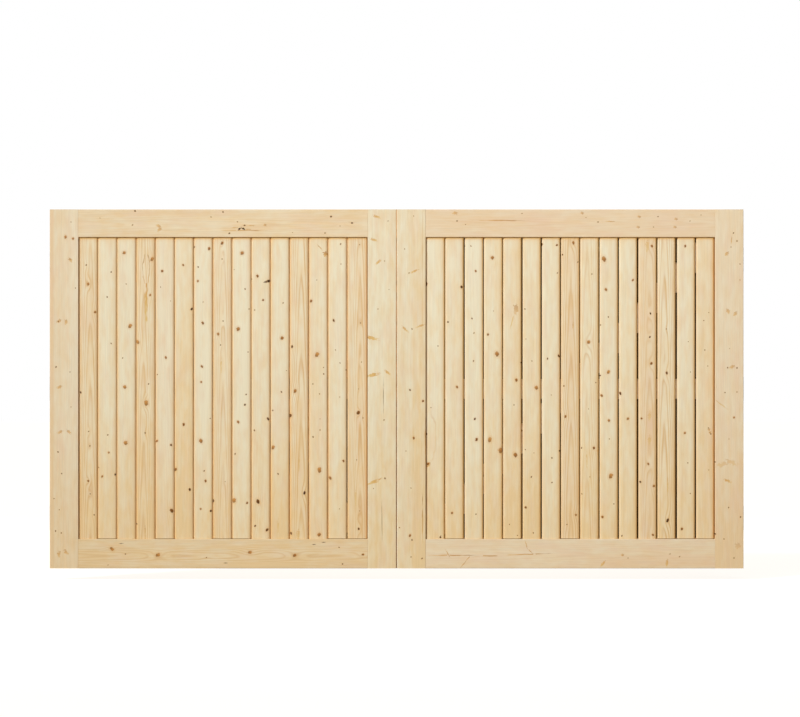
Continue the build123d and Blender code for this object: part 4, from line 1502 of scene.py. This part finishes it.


# %% [markdown]
# ## Dark joints
# In the photograph the open joints between the boards are dark, because it was dark behind
# the gate, and only where the mid rail, a brace or a lip lies behind do they show wood. On a
# white stage the same joints would be white slits. A thin, very dark and dull strip is set
# deep in each open joint to stand for that darkness, and stops where wood lies behind it.
# The left leaf's joints are tighter and read as shaded wood, so its strips are brown, apart from
# one joint near its meeting stile, which gapes below the mid rail and is dark there. The joint
# between the two leaves gets a strip too, on the left leaf's meeting edge. It leans back towards
# the foot, because the photograph shows that joint faint at the head and dark below. A black
# wall behind the gate would do the same, but it isn't part of the gate and would fill its back.

# %% Shade in the joints
# painted deep shade has no gloss and nearly no colour, with a little mottle to keep it from looking cut out
JOINT_COLOURS = {"left": "#DAAA72", "right": "#33200B"}
SHADE_MOTTLE_LENGTH = 40 * MM
SHADE_MOTTLE_DARK, SHADE_MOTTLE_BRIGHT = 0.75, 1.25
shades = {}
for side, colour in JOINT_COLOURS.items():
    shades[side], tree = new_material(f"{side}_joint_painted_shade")
    place = node(tree, "TexCoord").outputs["Object"]
    shade_noise = node(tree, "TexNoise", {"Vector": place, "Scale": 1 / SHADE_MOTTLE_LENGTH, "Detail": 2.0})
    shade_mottle = node(tree, "MapRange", {0: shade_noise, 1: 0.3, 2: 0.7, 3: SHADE_MOTTLE_DARK, 4: SHADE_MOTTLE_BRIGHT})
    uneven = node(tree, "Mix", {0: 1.0, 6: linear(colour), 7: shade_mottle}, data_type="RGBA", blend_type="MULTIPLY")
    dull = node(
        tree, "BsdfPrincipled", {"Base Color": uneven, "Roughness": 1.0, "Specular IOR Level": 0.0}
    )
    node(tree, "OutputMaterial", {"Surface": dull})
print("joint shades", [shade.name for shade in shades.values()])


# %% Where a joint is open
def open_lengths(x, side):
    """Lengths of a joint at x with nothing behind, as (foot, head) pairs."""
    left, right, foot, head = rear_opening(side)
    half_brace = BRACE_WIDTH / 2 / math.cos(math.atan2(head - foot, right - left))
    middle = brace_height(x, side)
    covered = sorted([tuple(mid_rail_heights(side)), (middle - half_brace, middle + half_brace)])
    lengths, start = [], foot
    for low, high in covered:
        if low > start:
            lengths.append((start, min(low, head)))
        start = max(start, high)
    if start < head:
        lengths.append((start, head))
    return lengths


print("the left leaf's first joint is open at", open_lengths(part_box("left_board_01")[1].x, "left"))

# %% Strips
STRIP_DEPTH, STRIP_OVERLAP = 1.0 * MM, 7 * MM
STRIP_SETBACK = {"left": 11 * MM, "right": 7 * MM}
# the left strips clear the boards by a hair; the right ones reach into the round of the boards'
# edges by a third of a millimetre, so that no white line shows beside the dark
STRIP_SIDE_CLEARANCE = {"left": 0.1 * MM, "right": -0.35 * MM}
DARK_LEFT_JOINT, DARK_LEFT_SETBACK = 14, 5 * MM
MEETING_STRIP_WIDTH = 4.4 * MM
MEETING_STRIP_HEAD, MEETING_STRIP_FOOT = 2 * MM, 16 * MM
BOX_FACES = ((0, 1, 3, 2), (4, 6, 7, 5), (0, 4, 5, 1), (2, 3, 7, 6), (0, 2, 6, 4), (1, 5, 7, 3))


def add_strip(vertices, faces, low, high, foot_back=0.0, head_back=0.0):
    """Adds one strip between two corners, with its foot and head set back by their own amounts."""
    first = len(vertices)
    for x in (low[0], high[0]):
        for y in (low[1], high[1]):
            vertices += [(x, y + foot_back, low[2]), (x, y + head_back, high[2])]
    faces += [tuple(first + corner for corner in face) for face in BOX_FACES]


for side in SIDES:
    vertices, faces, dark_faces = [], [], []
    boards = [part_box(f"{side}_board_{i:02d}") for i in range(1, BOARDS_A_LEAF + 1)]
    boards.sort(key=lambda box: box[0].x)
    for number, (one, other) in enumerate(zip(boards, boards[1:]), 1):
        x_low = one[1].x + STRIP_SIDE_CLEARANCE[side]
        x_high = other[0].x - STRIP_SIDE_CLEARANCE[side]
        for low, high in open_lengths((x_low + x_high) / 2, side):
            dark = side == "left" and number == DARK_LEFT_JOINT and low < mid_rail_heights(side)[0]
            y = one[0].y + (DARK_LEFT_SETBACK if dark else STRIP_SETBACK[side])
            if dark:
                dark_faces += range(len(faces), len(faces) + len(BOX_FACES))
            foot_corner = (x_low, y, low - STRIP_OVERLAP)
            head_corner = (x_high, y + STRIP_DEPTH, high + STRIP_OVERLAP)
            add_strip(vertices, faces, foot_corner, head_corner)
    if side == "left":
        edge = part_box("left_meeting_stile")[1].x
        foot_corner = (edge, front_y, foot_z)
        head_corner = (edge + MEETING_STRIP_WIDTH, front_y + STRIP_DEPTH, head_z)
        add_strip(vertices, faces, foot_corner, head_corner, MEETING_STRIP_FOOT, MEETING_STRIP_HEAD)
    mesh = bpy.data.meshes.new(f"{side}_joint_shadow")
    mesh.from_pydata(vertices, [], faces)
    mesh.materials.append(shades[side])
    if dark_faces:
        mesh.materials.append(shades["right"])
    for face in dark_faces:
        mesh.polygons[face].material_index = 1
    strips = put_in_scene(f"{side}_joint_shadow", mesh)
    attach(strips, f"{side}_leaf")
    print(strips.name, len(faces) // len(BOX_FACES), "strips")
